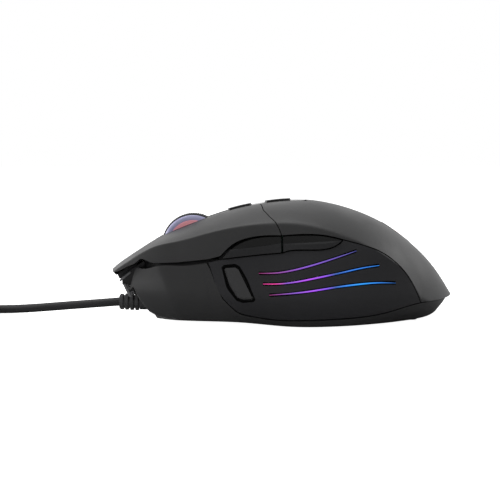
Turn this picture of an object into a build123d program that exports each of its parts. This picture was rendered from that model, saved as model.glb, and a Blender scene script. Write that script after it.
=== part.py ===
from build123d import *
import math
import os

import numpy as np

os.makedirs("parts", exist_ok=True)

# A wired, right-handed computer mouse, in millimetres, as an assembly of separate sub-parts.
# -X is the front, where the cord leaves; +X is the palm end; -Y is the thumb side; +Z is up.
# The origin is on the desk, under the middle of the body's box.

# ---------------------------------------------------------------- driving dimensions
BODY_LENGTH = 124.0
BODY_WIDTH = 74.0
CROWN_HEIGHT = 43.4
BELLY_HEIGHT = 8.8        # the widest line of the sides, and the lower edge of the palm cover
FOOT_PROUD = 0.6          # how far the feet hold the base off the desk
WALL = 2.0                # every moulded shell
SEAM = 0.4                # gap between neighbouring fixed shells and beside moving ones
CLICK_GAP = 1.0           # gap under the flanks of the two main buttons, which swing down

HALF_LENGTH = BODY_LENGTH / 2
HALF_WIDTH = BODY_WIDTH / 2
REACH = 80.0              # longer than any shell, for cutting prisms


# ---------------------------------------------------------------- smooth curves from a few points
def smooth(table, across=1.0, up=1.0):
    """A natural cubic spline through a few (place, value) pairs, scaled, as a function."""
    xs = np.array([p[0] for p in table], float) * across
    ys = np.array([p[1] for p in table], float) * up
    gap = np.diff(xs)
    rows = np.eye(len(xs))
    turn = np.zeros(len(xs))
    for i in range(1, len(xs) - 1):
        rows[i, i - 1:i + 2] = gap[i - 1], 2 * (gap[i - 1] + gap[i]), gap[i]
        turn[i] = 6 * ((ys[i + 1] - ys[i]) / gap[i] - (ys[i] - ys[i - 1]) / gap[i - 1])
    bend = np.linalg.solve(rows, turn)

    def value(x):
        i = int(np.clip(np.searchsorted(xs, x) - 1, 0, len(xs) - 2))
        a, b, h = xs[i + 1] - x, x - xs[i], gap[i]
        curve = (bend[i] * a ** 3 + bend[i + 1] * b ** 3) / (6 * h)
        line = (ys[i] / h - bend[i] * h / 6) * a + (ys[i + 1] / h - bend[i + 1] * h / 6) * b
        return float(curve + line)

    return value


# Height of the middle of the top, from the nose to the tail: shares of half the length, and of the crown height.
crown = smooth(
    ((-1.06, 0.37), (-1.0, 0.443), (-0.87, 0.572), (-0.74, 0.685), (-0.61, 0.770), (-0.45, 0.857),
     (-0.29, 0.929), (-0.13, 0.976), (0.03, 1.0), (0.16, 0.998), (0.29, 0.969), (0.42, 0.917),
     (0.55, 0.841), (0.68, 0.730), (0.77, 0.628), (0.87, 0.487), (0.935, 0.365), (1.0, 0.215)),
    HALF_LENGTH, CROWN_HEIGHT)
# How far the top falls from its middle to the widest line of the side: shares of half the length, and millimetres.
fall = smooth(
    ((-1.06, 1.2), (-1.0, 1.5), (-0.74, 2.4), (-0.61, 4.8), (-0.45, 6.7), (-0.29, 8.4), (-0.13, 9.8),
     (0.03, 10.8), (0.16, 11.8), (0.32, 12.9), (0.48, 13.3), (0.61, 13.9), (0.70, 15.4), (0.77, 16.7),
     (0.84, 14.3), (0.93, 7.4), (1.0, 0.5)),
    HALF_LENGTH)
FALL_POWER = 2.4
GRIP_SIDE_FALL = 1.12     # the top falls a little more towards the fingers than towards the thumb
# Half-widths at the widest line, on the thumb side and on the finger side: shares of half the width.
thumb_width = smooth(
    ((-1.06, 0.60), (-1.0, 0.635), (-0.74, 0.784), (-0.45, 0.860), (-0.13, 0.908), (0.03, 0.946),
     (0.19, 0.984), (0.32, 1.0), (0.6, 1.0), (1.06, 1.0)),
    HALF_LENGTH, HALF_WIDTH)
grip_width = smooth(
    ((-1.06, 0.60), (-1.0, 0.635), (-0.74, 0.770), (-0.45, 0.835), (-0.13, 0.870), (0.03, 0.915),
     (0.19, 0.968), (0.32, 1.0), (0.6, 1.0), (1.06, 1.0)),
    HALF_LENGTH, HALF_WIDTH)
WIDEST_AT = 0.32 * HALF_LENGTH
TAIL_POWER = 2.1
# How far the sides lean in at each height, and how far the tail is drawn in under the widest line.
lean = smooth(
    ((0.0, 3.6), (3.5, 2.1), (BELLY_HEIGHT, 0.0), (16, 0.9), (23, 2.2), (30, 3.9), (37, 6.2), (47, 10.5)))
tuck = smooth(((0.0, 6.4), (3.5, 3.6), (BELLY_HEIGHT, 0.0), (16, 0.0), (47, 0.0)))
TAIL_ROUND = 0.4          # the tail's flat end stands this far inside the ellipse that it closes


def half_width(x, z, side, inset=0.0):
    """Half-width of the body at one place and height, thumb side (-1) or finger side (1)."""
    width = (thumb_width if side < 0 else grip_width)(x) - lean(z) - inset
    tail = HALF_LENGTH + TAIL_ROUND - tuck(z) - inset
    share = min(max((x - WIDEST_AT) / (tail - WIDEST_AT), 0.0), 1.0)
    return width * (1 - share ** TAIL_POWER) ** (1 / TAIL_POWER)


def top_height(x, y, inset=0.0):
    """Height of the top skin over one place in plan, or of its inside, one wall lower along the slope."""
    def height(x, y):
        side = -1 if y < 0 else 1
        edge = max(half_width(min(x, HALF_LENGTH), BELLY_HEIGHT, side), 1.0)
        down = fall(x) * (GRIP_SIDE_FALL if side > 0 else 1.0)
        return crown(x) - down * abs(y / edge) ** FALL_POWER

    if not inset:
        return height(x, y)
    step = 0.05
    slope_x = (height(x, y) - height(x - step, y)) / step
    slope_y = (height(x, y) - height(x, y - step)) / step
    return height(x, y) - inset * min(math.sqrt(1 + slope_x ** 2 + slope_y ** 2), 2.6)


# ---------------------------------------------------------------- the body's form, solid
WALL_LEVELS = (-1.0, 1.6, 3.5, 6.0, BELLY_HEIGHT, 12.5, 17.0, 23.0, 30.0, 37.0, 47.0)


def side_walls(inset):
    """Everything between the side walls, from below the base to above the crown."""
    faces = []
    for z in WALL_LEVELS:
        tail = HALF_LENGTH + TAIL_ROUND - tuck(z) - inset
        nose = -HALF_LENGTH + inset
        front = [nose + (WIDEST_AT - nose) * k / 9 for k in range(9)]
        rear = [WIDEST_AT + (tail - WIDEST_AT) * math.sin(math.pi / 2 * k / 10) for k in range(10)]
        thumb = [(x, -half_width(x, z, -1, inset), z) for x in front + rear]
        grip = [(x, half_width(x, z, 1, inset), z) for x in reversed(front + rear)]
        skin = Spline(thumb + [(tail, 0, z)] + grip)
        faces.append(make_face([skin, Line(grip[-1], thumb[0])]))
    return loft(faces)


def under_top(inset):
    """Everything under the top skin."""
    end = HALF_LENGTH - inset * 0.9
    xs = [-HALF_LENGTH * 1.05 + (end + HALF_LENGTH * 1.05) * (k / 30) ** 0.8 for k in range(31)]
    rows = []
    for x in xs:
        row = []
        for k in range(-8, 9):
            share = 1.12 * k / 8
            y = share * half_width(min(x, HALF_LENGTH), BELLY_HEIGHT, -1 if share < 0 else 1)
            row.append(Vector(x, y, top_height(x, y, inset)))
        rows.append(row)
    skin = Face.make_surface_from_array_of_points(rows, tol=0.02)
    return Solid.extrude(skin, Vector(0, 0, -REACH))


def body_form(inset=0.0):
    """The whole form, smaller all round by the inset."""
    return side_walls(inset) & under_top(inset)


def keep(name, shape):
    """One sub-part of the assembly, written as its own STEP file."""
    solids = shape.solids() if hasattr(shape, "solids") else ShapeList(s for part in shape for s in part.solids())
    piece = solids[0] if len(solids) == 1 else Compound(children=list(solids))
    piece.label = name
    export_step(piece, f"parts/{name}.step")
    print(f"{name}: {len(solids)} solid(s), {sum(s.volume for s in solids):.0f} mm3")
    return shape


def outline(*lines):
    """A flat face in side view from lines of (x, z) points laid end to end: two points are straight."""
    edges = []
    for points in lines:
        places = [(x, 0, z) for x, z in points]
        edges.append(Line(*places) if len(places) == 2 else Spline(*places))
    return make_face(edges)


def corners(*points):
    """The straight lines between sharp corners."""
    return [points[k:k + 2] for k in range(len(points) - 1)]


def drawn_in(face, amount):
    """The same outline a little smaller, or larger by a negative amount, with each curve redrawn as a plain spline."""
    edges = []
    for edge in offset(face, -amount).edges():
        if edge.geom_type in (GeomType.LINE, GeomType.CIRCLE):
            edges.append(edge)
        else:
            steps = max(3, round(edge.length / 6))
            edges.append(Spline([edge @ (k / steps) for k in range(steps + 1)]))
    return make_face(edges)


def through(face, side):
    """A side-view face drawn out sideways from the middle plane, to the thumb side (-1) or finger side (1)."""
    return extrude(face, amount=REACH, dir=(0, side, 0))


def block(x0, x1, y0, y1, z0, z1):
    return Pos((x0 + x1) / 2, (y0 + y1) / 2, (z0 + z1) / 2) * Box(abs(x1 - x0), abs(y1 - y0), abs(z1 - z0))


def rod(x, y, z0, z1, radius):
    """An upright round bar."""
    return Pos(x, y, (z0 + z1) / 2) * Cylinder(radius, abs(z1 - z0))


def crossbar(x, z, y0, y1, radius):
    """A round bar from side to side."""
    return Pos(x, (y0 + y1) / 2, z) * Rot(90, 0, 0) * Cylinder(radius, abs(y1 - y0))


def profile_bar(points, y0, y1):
    """A side-view outline with sharp corners, drawn out from y0 to y1."""
    face = outline(*corners(*points, points[0]))
    return Pos(0, y0, 0) * extrude(face, amount=y1 - y0, dir=(0, 1, 0))


SIDES = {"left": -1, "right": 1}     # the left, thumb side is -Y

# ---------------------------------------------------------------- the lines where shells meet, in side view
CHEEK_CORNER = (-27.0, 23.0)      # main button, side panel and base
THUMB_FRONT = (-22.4, 23.9)       # front tip of the forward thumb button
THUMB_MIDDLE_TOP = (-1.5, 32.1)
THUMB_MIDDLE_LOW = (-1.3, 26.3)
THUMB_REAR = (19.4, 31.0)
BELLY_CORNER = (46.8, BELLY_HEIGHT)   # side panel, palm cover and base
ABOVE = 56.0
BEHIND = 70.0

NOSE_EDGE = ((-BEHIND, 17.2), (-58.6, 17.2), (-53.6, 21.9), (-50.6, 24.2))
CLICK_LIFT = CLICK_GAP - SEAM     # how far the buttons' lower edges stand above the shells that they swing towards
BUTTON_TIP = (THUMB_FRONT[0] - 0.3, THUMB_FRONT[1] + CLICK_LIFT)
FLANK = ((-45.5, 22.1 + CLICK_LIFT / 2), (-37.8, 22.4 + CLICK_LIFT / 2),
         (CHEEK_CORNER[0], CHEEK_CORNER[1] + CLICK_LIFT), BUTTON_TIP)
FORWARD_TOP = (THUMB_FRONT, (-19.2, 27.6), (-13.1, 30.8), (-8.2, 31.8), THUMB_MIDDLE_TOP)
REAR_TOP = (THUMB_MIDDLE_TOP, (8.0, 32.7), (14.8, 32.1), THUMB_REAR)
BUTTON_OVER = (BUTTON_TIP, (-19.4, 27.9), (-13.1, 31.0), (-8.2, 31.9), THUMB_MIDDLE_TOP)
FORWARD_LOW = (THUMB_FRONT, (-12.0, 25.2), THUMB_MIDDLE_LOW)
REAR_LOW = (THUMB_MIDDLE_LOW, (11.5, 27.5), (16.5, 28.7), THUMB_REAR)
BUTTON_SEAM = (THUMB_MIDDLE_TOP, (-2.3, 34.2), (-3.4, 36.4), (-5.7, 38.4), (-7.7, 40.3), (-9.1, 42.6))
PANEL_REAR = (THUMB_REAR, (27.1, 28.9), (32.7, 26.6), (37.6, 23.1), (40.9, 19.7), (43.6, 15.7), BELLY_CORNER)
PANEL_LOW = (CHEEK_CORNER, (-25.5, 18.7), (-22.2, 11.3), (-19.4, 8.2), (-16.4, 5.7), (-12.5, 4.5),
             (-6.6, 3.5), (3.3, 3.1), (15.0, 3.8), (24.6, 4.6), (34.6, 6.2), (41.1, 7.8), BELLY_CORNER)
SEAM_TOP = (BUTTON_SEAM[-1][0], ABOVE)
CHEEK_TOP = ((-45.5, FLANK[0][1] - CLICK_GAP), (-51.0, 20.5), (-53.5, 19.3), (-54.5, 14.5), (-BEHIND, 14.5))
FLOOR_RAMP = ((49.0, FOOT_PROUD), (58.0, 3.4))    # the underside rises towards the tail

button_side = outline(
    *corners((-BEHIND, ABOVE), *NOSE_EDGE, FLANK[0]), FLANK, BUTTON_OVER, BUTTON_SEAM,
    *corners(BUTTON_SEAM[-1], SEAM_TOP, (-BEHIND, ABOVE)))
palm_side = outline(
    *corners(SEAM_TOP, BUTTON_SEAM[-1]), BUTTON_SEAM[::-1], REAR_TOP, PANEL_REAR,
    *corners(BELLY_CORNER, (BEHIND, BELLY_HEIGHT), (BEHIND, ABOVE), SEAM_TOP))
forward_side = outline(FORWARD_TOP, (THUMB_MIDDLE_TOP, THUMB_MIDDLE_LOW), FORWARD_LOW[::-1])
rear_side = outline(REAR_TOP, REAR_LOW[::-1], (THUMB_MIDDLE_LOW, THUMB_MIDDLE_TOP))
thumb_panel_side = outline(
    (CHEEK_CORNER, THUMB_FRONT), FORWARD_LOW, REAR_LOW, PANEL_REAR, PANEL_LOW[::-1])
grip_panel_side = outline(
    (CHEEK_CORNER, THUMB_FRONT), FORWARD_TOP, REAR_TOP, PANEL_REAR, PANEL_LOW[::-1])


def base_side(inset=0.0):
    """The base in side view: everything under the panels and the palm cover, with its floor raised by the inset."""
    low = [(x + inset / 2 * (k > 1), z + inset) for k, (x, z) in enumerate(
        ((-BEHIND, FOOT_PROUD), FLOOR_RAMP[0], FLOOR_RAMP[1], (BEHIND, 7.0)))]
    return outline(
        PANEL_LOW, *corners(BELLY_CORNER, (BEHIND, BELLY_HEIGHT), *low[::-1], CHEEK_TOP[-1]),
        *corners(*CHEEK_TOP[::-1], CHEEK_CORNER))


# ---------------------------------------------------------------- the base's curved front wall
FRONT_MIDDLE = -57.5
FRONT_CORNER_BACK = 3.1       # how far the corners lie behind the middle, at 24 mm from the middle
front_slope = smooth(((-1, 17), (1.5, 14), (3.2, 10.2), (4.3, 7.6), (6.9, 4.9), (10, 2.8), (13.2, 1.5),
                      (19.5, 0), (30, -1)))


def front_at(y, z):
    return FRONT_MIDDLE + FRONT_CORNER_BACK * (y / 24) ** 2 + front_slope(z)


def behind_front(inset):
    """Everything behind the base's front wall, which bows forwards in plan and curls under below."""
    rows = [[Vector(front_at(y, z) + inset, y, z) for y in range(-48, 49, 12)]
            for z in (-1, 0.5, 2, 3.5, 5, 7.5, 10, 13, 16, 20, 25, 30)]
    skin = Face.make_surface_from_array_of_points(rows, tol=0.02)
    return Solid.extrude(skin, Vector(2 * BODY_LENGTH, 0, 0))


# ---------------------------------------------------------------- shared bodies
skin = body_form() - body_form(WALL)
half_skin = body_form(WALL / 2)       # trims posts that end inside a shell's wall
walls_outer = side_walls(0)
walls_inner = side_walls(WALL)

# ---------------------------------------------------------------- places shared by several sub-parts
FLOOR_TOP = FOOT_PROUD + WALL
BOARD_BOTTOM = 7.4
BOARD_THICK = 1.6
BOARD_TOP = BOARD_BOTTOM + BOARD_THICK
RUNNING = 0.05                # radial clearance of every turning pin
SPINE_HALF = 5.6
PIN_X, PIN_Z = -5.5, 34.5     # the main buttons' hinge
PIN_RADIUS = 0.8
LUG = 1.2
LUG_INNER = 9.6
LUG_OUTER = 20.0
EYE_RADIUS = 2.3
FRAME_Z = 27.6
FRAME_THICK = 2.0
FRAME_TOP = FRAME_Z + FRAME_THICK
BOSS_RADIUS = 3.0
SCREW_RADIUS = 1.0
HEAD_RADIUS = 1.9
HEAD_HEIGHT = 1.3
SHANK = 7.0
BITE = 0.02                   # clearance round a screw's shank

SWITCH_X, SWITCH_Y = -38.0, 17.0
SWITCH_LENGTH, SWITCH_WIDTH, SWITCH_HEIGHT = 12.8, 5.8, 6.5
PLUNGER_PROUD = 0.6
TIP_GAP = 0.15                # between a button's post and the switch plunger under it

WHEEL_X, WHEEL_Z = -33.5, 26.7
WHEEL_RADIUS = 11.8
WHEEL_HALF = 3.8
AXLE_RADIUS = 1.5
ARM_INNER = 5.0
ARM_OUTER = 6.8
PIVOT_X, PIVOT_Z = -49.0, 12.5
PIVOT_RADIUS = 1.5
ENCODER_END = 10.8

TACT = 6.0                    # body of the small push switches
TACT_HEIGHT = 3.4
TACT_PLUNGER = 1.6
SIDE_BOARD_OUT = -22.0
SIDE_BOARD_THICK = 1.2
SIDE_TACT = 3.6
SIDE_TACT_DEEP = 2.2
SIDE_STEM = 1.4
POST_XS = (-20.0, 16.0)       # the base's two posts behind the side board
POST_DEEP = 4.0
PRESS_AT = {"forward": (-11.5, 28.4), "back": (7.5, 29.9), "sniper": (-16.4, 16.2)}
CASE_SCREWS = (40.0, 16.0)
CASE_JOIN = 12.0              # height where the palm cover's posts stand on the base's bosses
FRAME_SCREWS = (4.0, 17.5)
BOARD_SCREWS = ((-28.0, -10.0), (-28.0, 10.0), (34.0, 0.0))
CORD_RADIUS = 1.6
EXIT_X, EXIT_Z = -61.5, 5.0
RELIEF_RADIUS = 3.0


def screw(head_z, up=True, shank=SHANK):
    """A pan-head screw at the origin's x and y; its head sits above head_z, or below it."""
    way = 1 if up else -1
    head = rod(0, 0, head_z, head_z + way * HEAD_HEIGHT, HEAD_RADIUS)
    bar = rod(0, 0, head_z, head_z - way * shank, SCREW_RADIUS)
    slot = block(-0.3, 0.3, -1.2, 1.2, head_z + way * HEAD_HEIGHT * 0.5, head_z + way * (HEAD_HEIGHT + 1))
    cross = block(-1.2, 1.2, -0.3, 0.3, head_z + way * HEAD_HEIGHT * 0.5, head_z + way * (HEAD_HEIGHT + 1))
    return head + bar - slot - cross


def hole_for_screw(x, y, z0, z1):
    return rod(x, y, z0, z1, SCREW_RADIUS + BITE)


# ---------------------------------------------------------------- main buttons
for name, side in SIDES.items():
    off_middle = block(-BEHIND, BEHIND, side * (SPINE_HALF + SEAM), side * REACH, 0, ABOVE)
    button = skin & through(drawn_in(button_side, SEAM / 2), side) & off_middle
    tip = rod(SWITCH_X, side * SWITCH_Y, BOARD_TOP + SWITCH_HEIGHT + PLUNGER_PROUD + TIP_GAP, ABOVE, 1.6)
    web = block(SWITCH_X - 3.2, SWITCH_X + 3.2, side * SWITCH_Y - 0.5, side * SWITCH_Y + 0.5, 20.0, ABOVE)
    y0 = side * (LUG_INNER + LUG + 0.2)
    y1 = side * (LUG_OUTER - LUG - 0.2)
    tongue = block(-13.5, -10.0, y0, y1, PIN_Z - EYE_RADIUS, ABOVE)
    tongue += block(-13.5, PIN_X, y0, y1, PIN_Z - EYE_RADIUS, PIN_Z + EYE_RADIUS)
    tongue += crossbar(PIN_X, PIN_Z, y0, y1, EYE_RADIUS)
    button = button + ((tip + web + tongue) & half_skin)
    button -= crossbar(PIN_X, PIN_Z, side * 8.0, side * 22.0, PIN_RADIUS + RUNNING)
    keep(f"{name}_main_button", button)

# ---------------------------------------------------------------- centre spine, with the wheel slot
DPI_XS = {"up": (-20.6, -12.0), "down": (-6.8, 2.5)}
DPI_HALF = 3.2
DPI_PROUD = 0.6
DPI_GAP = 0.3
SPINE_REAR = 8.0
WHEEL_SLOT = (WHEEL_X - 14.0, WHEEL_X + 12.6, WHEEL_HALF + 0.6)
spine_plan = block(-BEHIND, SPINE_REAR, -SPINE_HALF, SPINE_HALF, 0, ABOVE)
spine_plan = fillet(spine_plan.edges().filter_by(Axis.Z).sort_by(Axis.X)[-2:], 3.0)
above_nose = block(-BEHIND, BEHIND, -REACH, REACH, 17.6, ABOVE)
spine = skin & spine_plan & above_nose
for face_y in (-1, 1):
    skirt = block(-14.0, 6.5, face_y * 4.6, face_y * SPINE_HALF, FRAME_TOP, ABOVE)
    spine += skirt & half_skin
NOSE_LEG_FOOT = CHEEK_TOP[-1][1] - SEAM / 2
spine += block(-57.2, -55.0, -3.0, 3.0, NOSE_LEG_FOOT, ABOVE) & half_skin
spine -= block(WHEEL_SLOT[0], WHEEL_SLOT[1], -WHEEL_SLOT[2], WHEEL_SLOT[2], 0, ABOVE)
for x0, x1 in DPI_XS.values():
    spine -= block(x0 - DPI_GAP, x1 + DPI_GAP, -DPI_HALF - DPI_GAP, DPI_HALF + DPI_GAP, 34.0, ABOVE)
keep("centre_spine", spine)

# ---------------------------------------------------------------- palm cover, with its light window
WINDOW_X, WINDOW_LONG, WINDOW_WIDE = 42.0, 4.6, 6.0
window_hole = Pos(WINDOW_X, 0, 10) * extrude(Ellipse(WINDOW_LONG, WINDOW_WIDE), amount=ABOVE)
window_body = Pos(WINDOW_X, 0, 10) * extrude(Ellipse(WINDOW_LONG - 0.05, WINDOW_WIDE - 0.05), amount=ABOVE)
window_rim = Pos(WINDOW_X, 0, 10) * extrude(Ellipse(WINDOW_LONG + 1.2, WINDOW_WIDE + 1.2), amount=ABOVE)
palm_region = drawn_in(palm_side, SEAM / 2)
palm = skin & (through(palm_region, 1) + through(palm_region, -1))
for side in SIDES.values():
    x, y = CASE_SCREWS[0], side * CASE_SCREWS[1]
    palm += rod(x, y, CASE_JOIN, ABOVE, BOSS_RADIUS) & half_skin
    palm -= hole_for_screw(x, y, CASE_JOIN - 1, CASE_JOIN + SHANK + 1)
spine_bay = block(-BEHIND, SPINE_REAR + SEAM, -SPINE_HALF - SEAM, SPINE_HALF + SEAM, 0, ABOVE)
palm -= fillet(spine_bay.edges().filter_by(Axis.Z).sort_by(Axis.X)[-2:], 3.0 + SEAM)
palm -= window_hole
keep("palm_cover", palm)
window = (skin & window_body) + ((body_form(WALL) - body_form(WALL + 0.9)) & window_rim)
keep("palm_light_window", window)

# ---------------------------------------------------------------- side panels
STRIP = 1.2
LIGHT_LINES = (
    ((-9.4, 19.4), (-3.3, 19.6), (3.2, 20.8), (9.6, 22.6), (17.9, 25.3), (23.8, 27.3)),
    ((-7.9, 15.8), (-1.7, 16.0), (9.7, 18.0), (19.6, 20.2), (26.1, 21.6), (31.6, 22.3)),
    ((-5.8, 12.1), (6.4, 13.4), (17.9, 15.3), (24.4, 16.1), (30.9, 16.5), (37.4, 16.2)),
)
SNIPER_HOLE = ((-21.6, 20.6), (-20.9, 21.4), (-17.4, 21.6), (-16.1, 20.8), (-11.2, 11.0), (-11.8, 10.3),
               (-15.1, 10.1), (-17.0, 10.9), (-19.7, 14.9))
INSIDE_GAP = 0.05             # between a shell's wall and what is glued or hooked behind it
RIM = 1.0
RIM_WIDE = 0.8
MOVING_GAP = 0.35
THUMB_PROUD = 1.0


def strip(points, width):
    """A band of even height along a line of light."""
    upper = [(x, z + width / 2) for x, z in points]
    lower = [(x, z - width / 2) for x, z in points]
    return outline(upper, (upper[-1], lower[-1]), lower[::-1], (lower[0], upper[0]))


sniper_hole = outline(*corners(*SNIPER_HOLE, SNIPER_HOLE[0]))
thumb_panel = skin & through(drawn_in(thumb_panel_side, SEAM / 2), -1)
thumb_panel -= through(sniper_hole, -1)
for line in LIGHT_LINES:
    thumb_panel -= through(strip(line, STRIP), -1)
grip_panel = skin & through(drawn_in(grip_panel_side, SEAM / 2), 1)
keep("side_panel_thumb", thumb_panel)
keep("side_panel_grip", grip_panel)

GUIDE_OUTLINE = ((-11.6, 21.3), (2.0, 22.6), (13.0, 25.2), (24.6, 29.0), (33.6, 24.0), (39.6, 17.6),
                 (38.6, 14.6), (8.0, 10.6), (-7.6, 10.2))
guide_plate = outline(*corners(*GUIDE_OUTLINE, GUIDE_OUTLINE[0]))
behind_wall = body_form(WALL + INSIDE_GAP) - side_walls(WALL + INSIDE_GAP + 1.2)
guide = behind_wall & through(guide_plate, -1)
guide_ribs = walls_outer - side_walls(WALL + 0.6)
for line in LIGHT_LINES:
    guide += guide_ribs & through(strip(line, STRIP - 2 * INSIDE_GAP), -1)
keep("side_light_guide", guide)

# ---------------------------------------------------------------- thumb buttons and the sniper button
rim_skin = body_form(WALL + MOVING_GAP) - side_walls(WALL + MOVING_GAP + RIM)
proud_skin = side_walls(-THUMB_PROUD) - side_walls(WALL + MOVING_GAP + RIM / 2)
flush_skin = walls_outer - side_walls(WALL + MOVING_GAP + RIM / 2)
STEM_TIP = SIDE_BOARD_OUT - SIDE_TACT_DEEP - 0.7
STEM_FROM = -33.0
stem_room = side_walls(WALL / 2)


def press_button(face, gap, cap, place):
    """A cap in its opening, a wider rim behind the wall, and a stem that reaches the switch."""
    x, z = place
    rim = rim_skin & through(drawn_in(face, -RIM_WIDE), -1)
    stem = crossbar(x, z, STEM_FROM, STEM_TIP, SIDE_STEM) & stem_room
    return (cap & through(drawn_in(face, gap), -1)) + rim + stem


FACET_PLANES = {"forward": ((-18.3, 27.3), (-2.4, 29.4)), "back": ((-1.0, 29.4), (18.0, 30.6))}
for name, face in (("forward", forward_side), ("back", rear_side)):
    cap = press_button(face, SEAM / 2 + 0.15, proud_skin, PRESS_AT[name])
    (x0, z0), (x1, z1) = FACET_PLANES[name]
    split_x = THUMB_MIDDLE_TOP[0] + (SEAM + 0.3) * (-0.5 if name == "forward" else 0.5) + 0.1
    cap -= block(split_x, BEHIND if name == "forward" else -BEHIND, -REACH, 0, 0, ABOVE)
    y0 = -half_width(x0, z0, -1) - THUMB_PROUD
    y1 = -half_width(x1, z1, -1) - THUMB_PROUD
    along = Vector(x1 - x0, y1 - y0, z1 - z0).normalized()
    normal = along.cross(Vector(0, 1, 1.25)).normalized()
    if normal.Z < 0:
        normal = normal * -1
    facet = Plane(origin=(x0, y0, z0), x_dir=along, z_dir=normal)
    keep(f"side_button_{name}", split(cap, bisect_by=facet, keep=Keep.BOTTOM))
sniper = press_button(sniper_hole, 0.35, flush_skin, PRESS_AT["sniper"])
keep("sniper_button", sniper)

# ---------------------------------------------------------------- base
PIVOT_LUGS = (ARM_OUTER + 0.3, ARM_OUTER + 3.1)
SENSOR_HOLE = (6.0, 5.0)
RELIEF_HOLE = RELIEF_RADIUS + BITE
base_outer = walls_outer & behind_front(0) & (through(drawn_in(base_side(), SEAM / 2), 1)
                                              + through(drawn_in(base_side(), SEAM / 2), -1))
floor_line = outline(*corners(
    (-BEHIND, FLOOR_TOP), (FLOOR_RAMP[0][0] - 1.5, FLOOR_TOP), (FLOOR_RAMP[1][0] - 1.5, FLOOR_RAMP[1][1] + WALL + 0.6),
    (BEHIND, FLOOR_RAMP[1][1] + 8.0), (BEHIND, ABOVE), (-BEHIND, ABOVE), (-BEHIND, FLOOR_TOP)))
base_inner = walls_inner & behind_front(WALL) & (through(floor_line, 1) + through(floor_line, -1))
base = base_outer - base_inner
inside_base = side_walls(WALL / 2) & behind_front(WALL / 2)


def boss(x, y, top, radius=BOSS_RADIUS):
    return rod(x, y, FLOOR_TOP - WALL / 2, top, radius)


posts = boss(FRAME_SCREWS[0], FRAME_SCREWS[1], FRAME_Z)
posts += boss(FRAME_SCREWS[0], -FRAME_SCREWS[1], FRAME_Z)
for side in SIDES.values():
    posts += boss(CASE_SCREWS[0], side * CASE_SCREWS[1], CASE_JOIN)
    lug = block(PIVOT_X - 2.6, PIVOT_X + 2.6, side * PIVOT_LUGS[0], side * PIVOT_LUGS[1], FLOOR_TOP - WALL / 2, PIVOT_Z)
    posts += lug + crossbar(PIVOT_X, PIVOT_Z, side * PIVOT_LUGS[0], side * PIVOT_LUGS[1], 2.6)
for x, y in BOARD_SCREWS:
    posts += boss(x, y, BOARD_BOTTOM, 2.5)
SIDE_BOARD_IN = SIDE_BOARD_OUT + SIDE_BOARD_THICK
SIDE_BOARD_Z = (9.6, 31.4)
for x in POST_XS:
    posts += block(x - 2.5, x + 2.5, SIDE_BOARD_IN, SIDE_BOARD_IN + POST_DEEP, FLOOR_TOP - WALL / 2, SIDE_BOARD_Z[1] - 1)
base += posts & inside_base
for side in SIDES.values():
    base -= hole_for_screw(FRAME_SCREWS[0], side * FRAME_SCREWS[1], FRAME_Z - SHANK - 1, FRAME_Z + 1)
    base -= hole_for_screw(CASE_SCREWS[0], side * CASE_SCREWS[1], 0, CASE_JOIN + 1)
    base -= rod(CASE_SCREWS[0], side * CASE_SCREWS[1], 0, 4.0, HEAD_RADIUS + 0.2)
    base -= crossbar(PIVOT_X, PIVOT_Z, side * ARM_OUTER, side * (ARM_OUTER + 2.8), PIVOT_RADIUS + RUNNING)
for x, y in BOARD_SCREWS:
    base -= hole_for_screw(x, y, BOARD_TOP - SHANK - 0.3, BOARD_TOP)
SIDE_SCREW_Z = 20.5
for x in POST_XS:
    base -= crossbar(x, SIDE_SCREW_Z, SIDE_BOARD_OUT, SIDE_BOARD_IN + POST_DEEP - 0.6, SCREW_RADIUS + BITE)
base -= block(-SENSOR_HOLE[0], SENSOR_HOLE[0], -SENSOR_HOLE[1], SENSOR_HOLE[1], 0, FLOOR_TOP + 0.1)
base -= Pos(-55, 0, EXIT_Z) * Rot(0, 90, 0) * Cylinder(RELIEF_HOLE, 20)
keep("base_shell", base)

# ---------------------------------------------------------------- front bumper and grille
in_front = block(-BEHIND, -30, -REACH, REACH, 0, ABOVE) - behind_front(0)
BUMPER = ((-59.6, 14.4), (-56.4, 14.2), (-48.0, 8.6), (-54.6, 8.6))
BUMPER_HALF = 9.0
bumper = profile_bar(BUMPER, -BUMPER_HALF, BUMPER_HALF) & in_front
keep("front_bumper", bumper)
SLAT = 1.2
GRILLE_REACH = 20.4
RAIL = ((-59.6, 15.6), (-50.0, 15.6), (-50.0, 14.2), (-58.9, 14.2))
SLAT_SIDE = ((-59.2, 15.0), (-50.0, 15.0), (-48.0, 8.8), (-54.8, 8.8))
halves = []
for side in SIDES.values():
    half = profile_bar(RAIL, *sorted((side * BUMPER_HALF, side * GRILLE_REACH)))
    for y in (12.0, 16.0, GRILLE_REACH - SLAT):
        half += profile_bar(SLAT_SIDE, *sorted((side * y, side * (y + SLAT))))
    halves += (half & in_front).solids()
keep("front_grille", halves)

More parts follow.
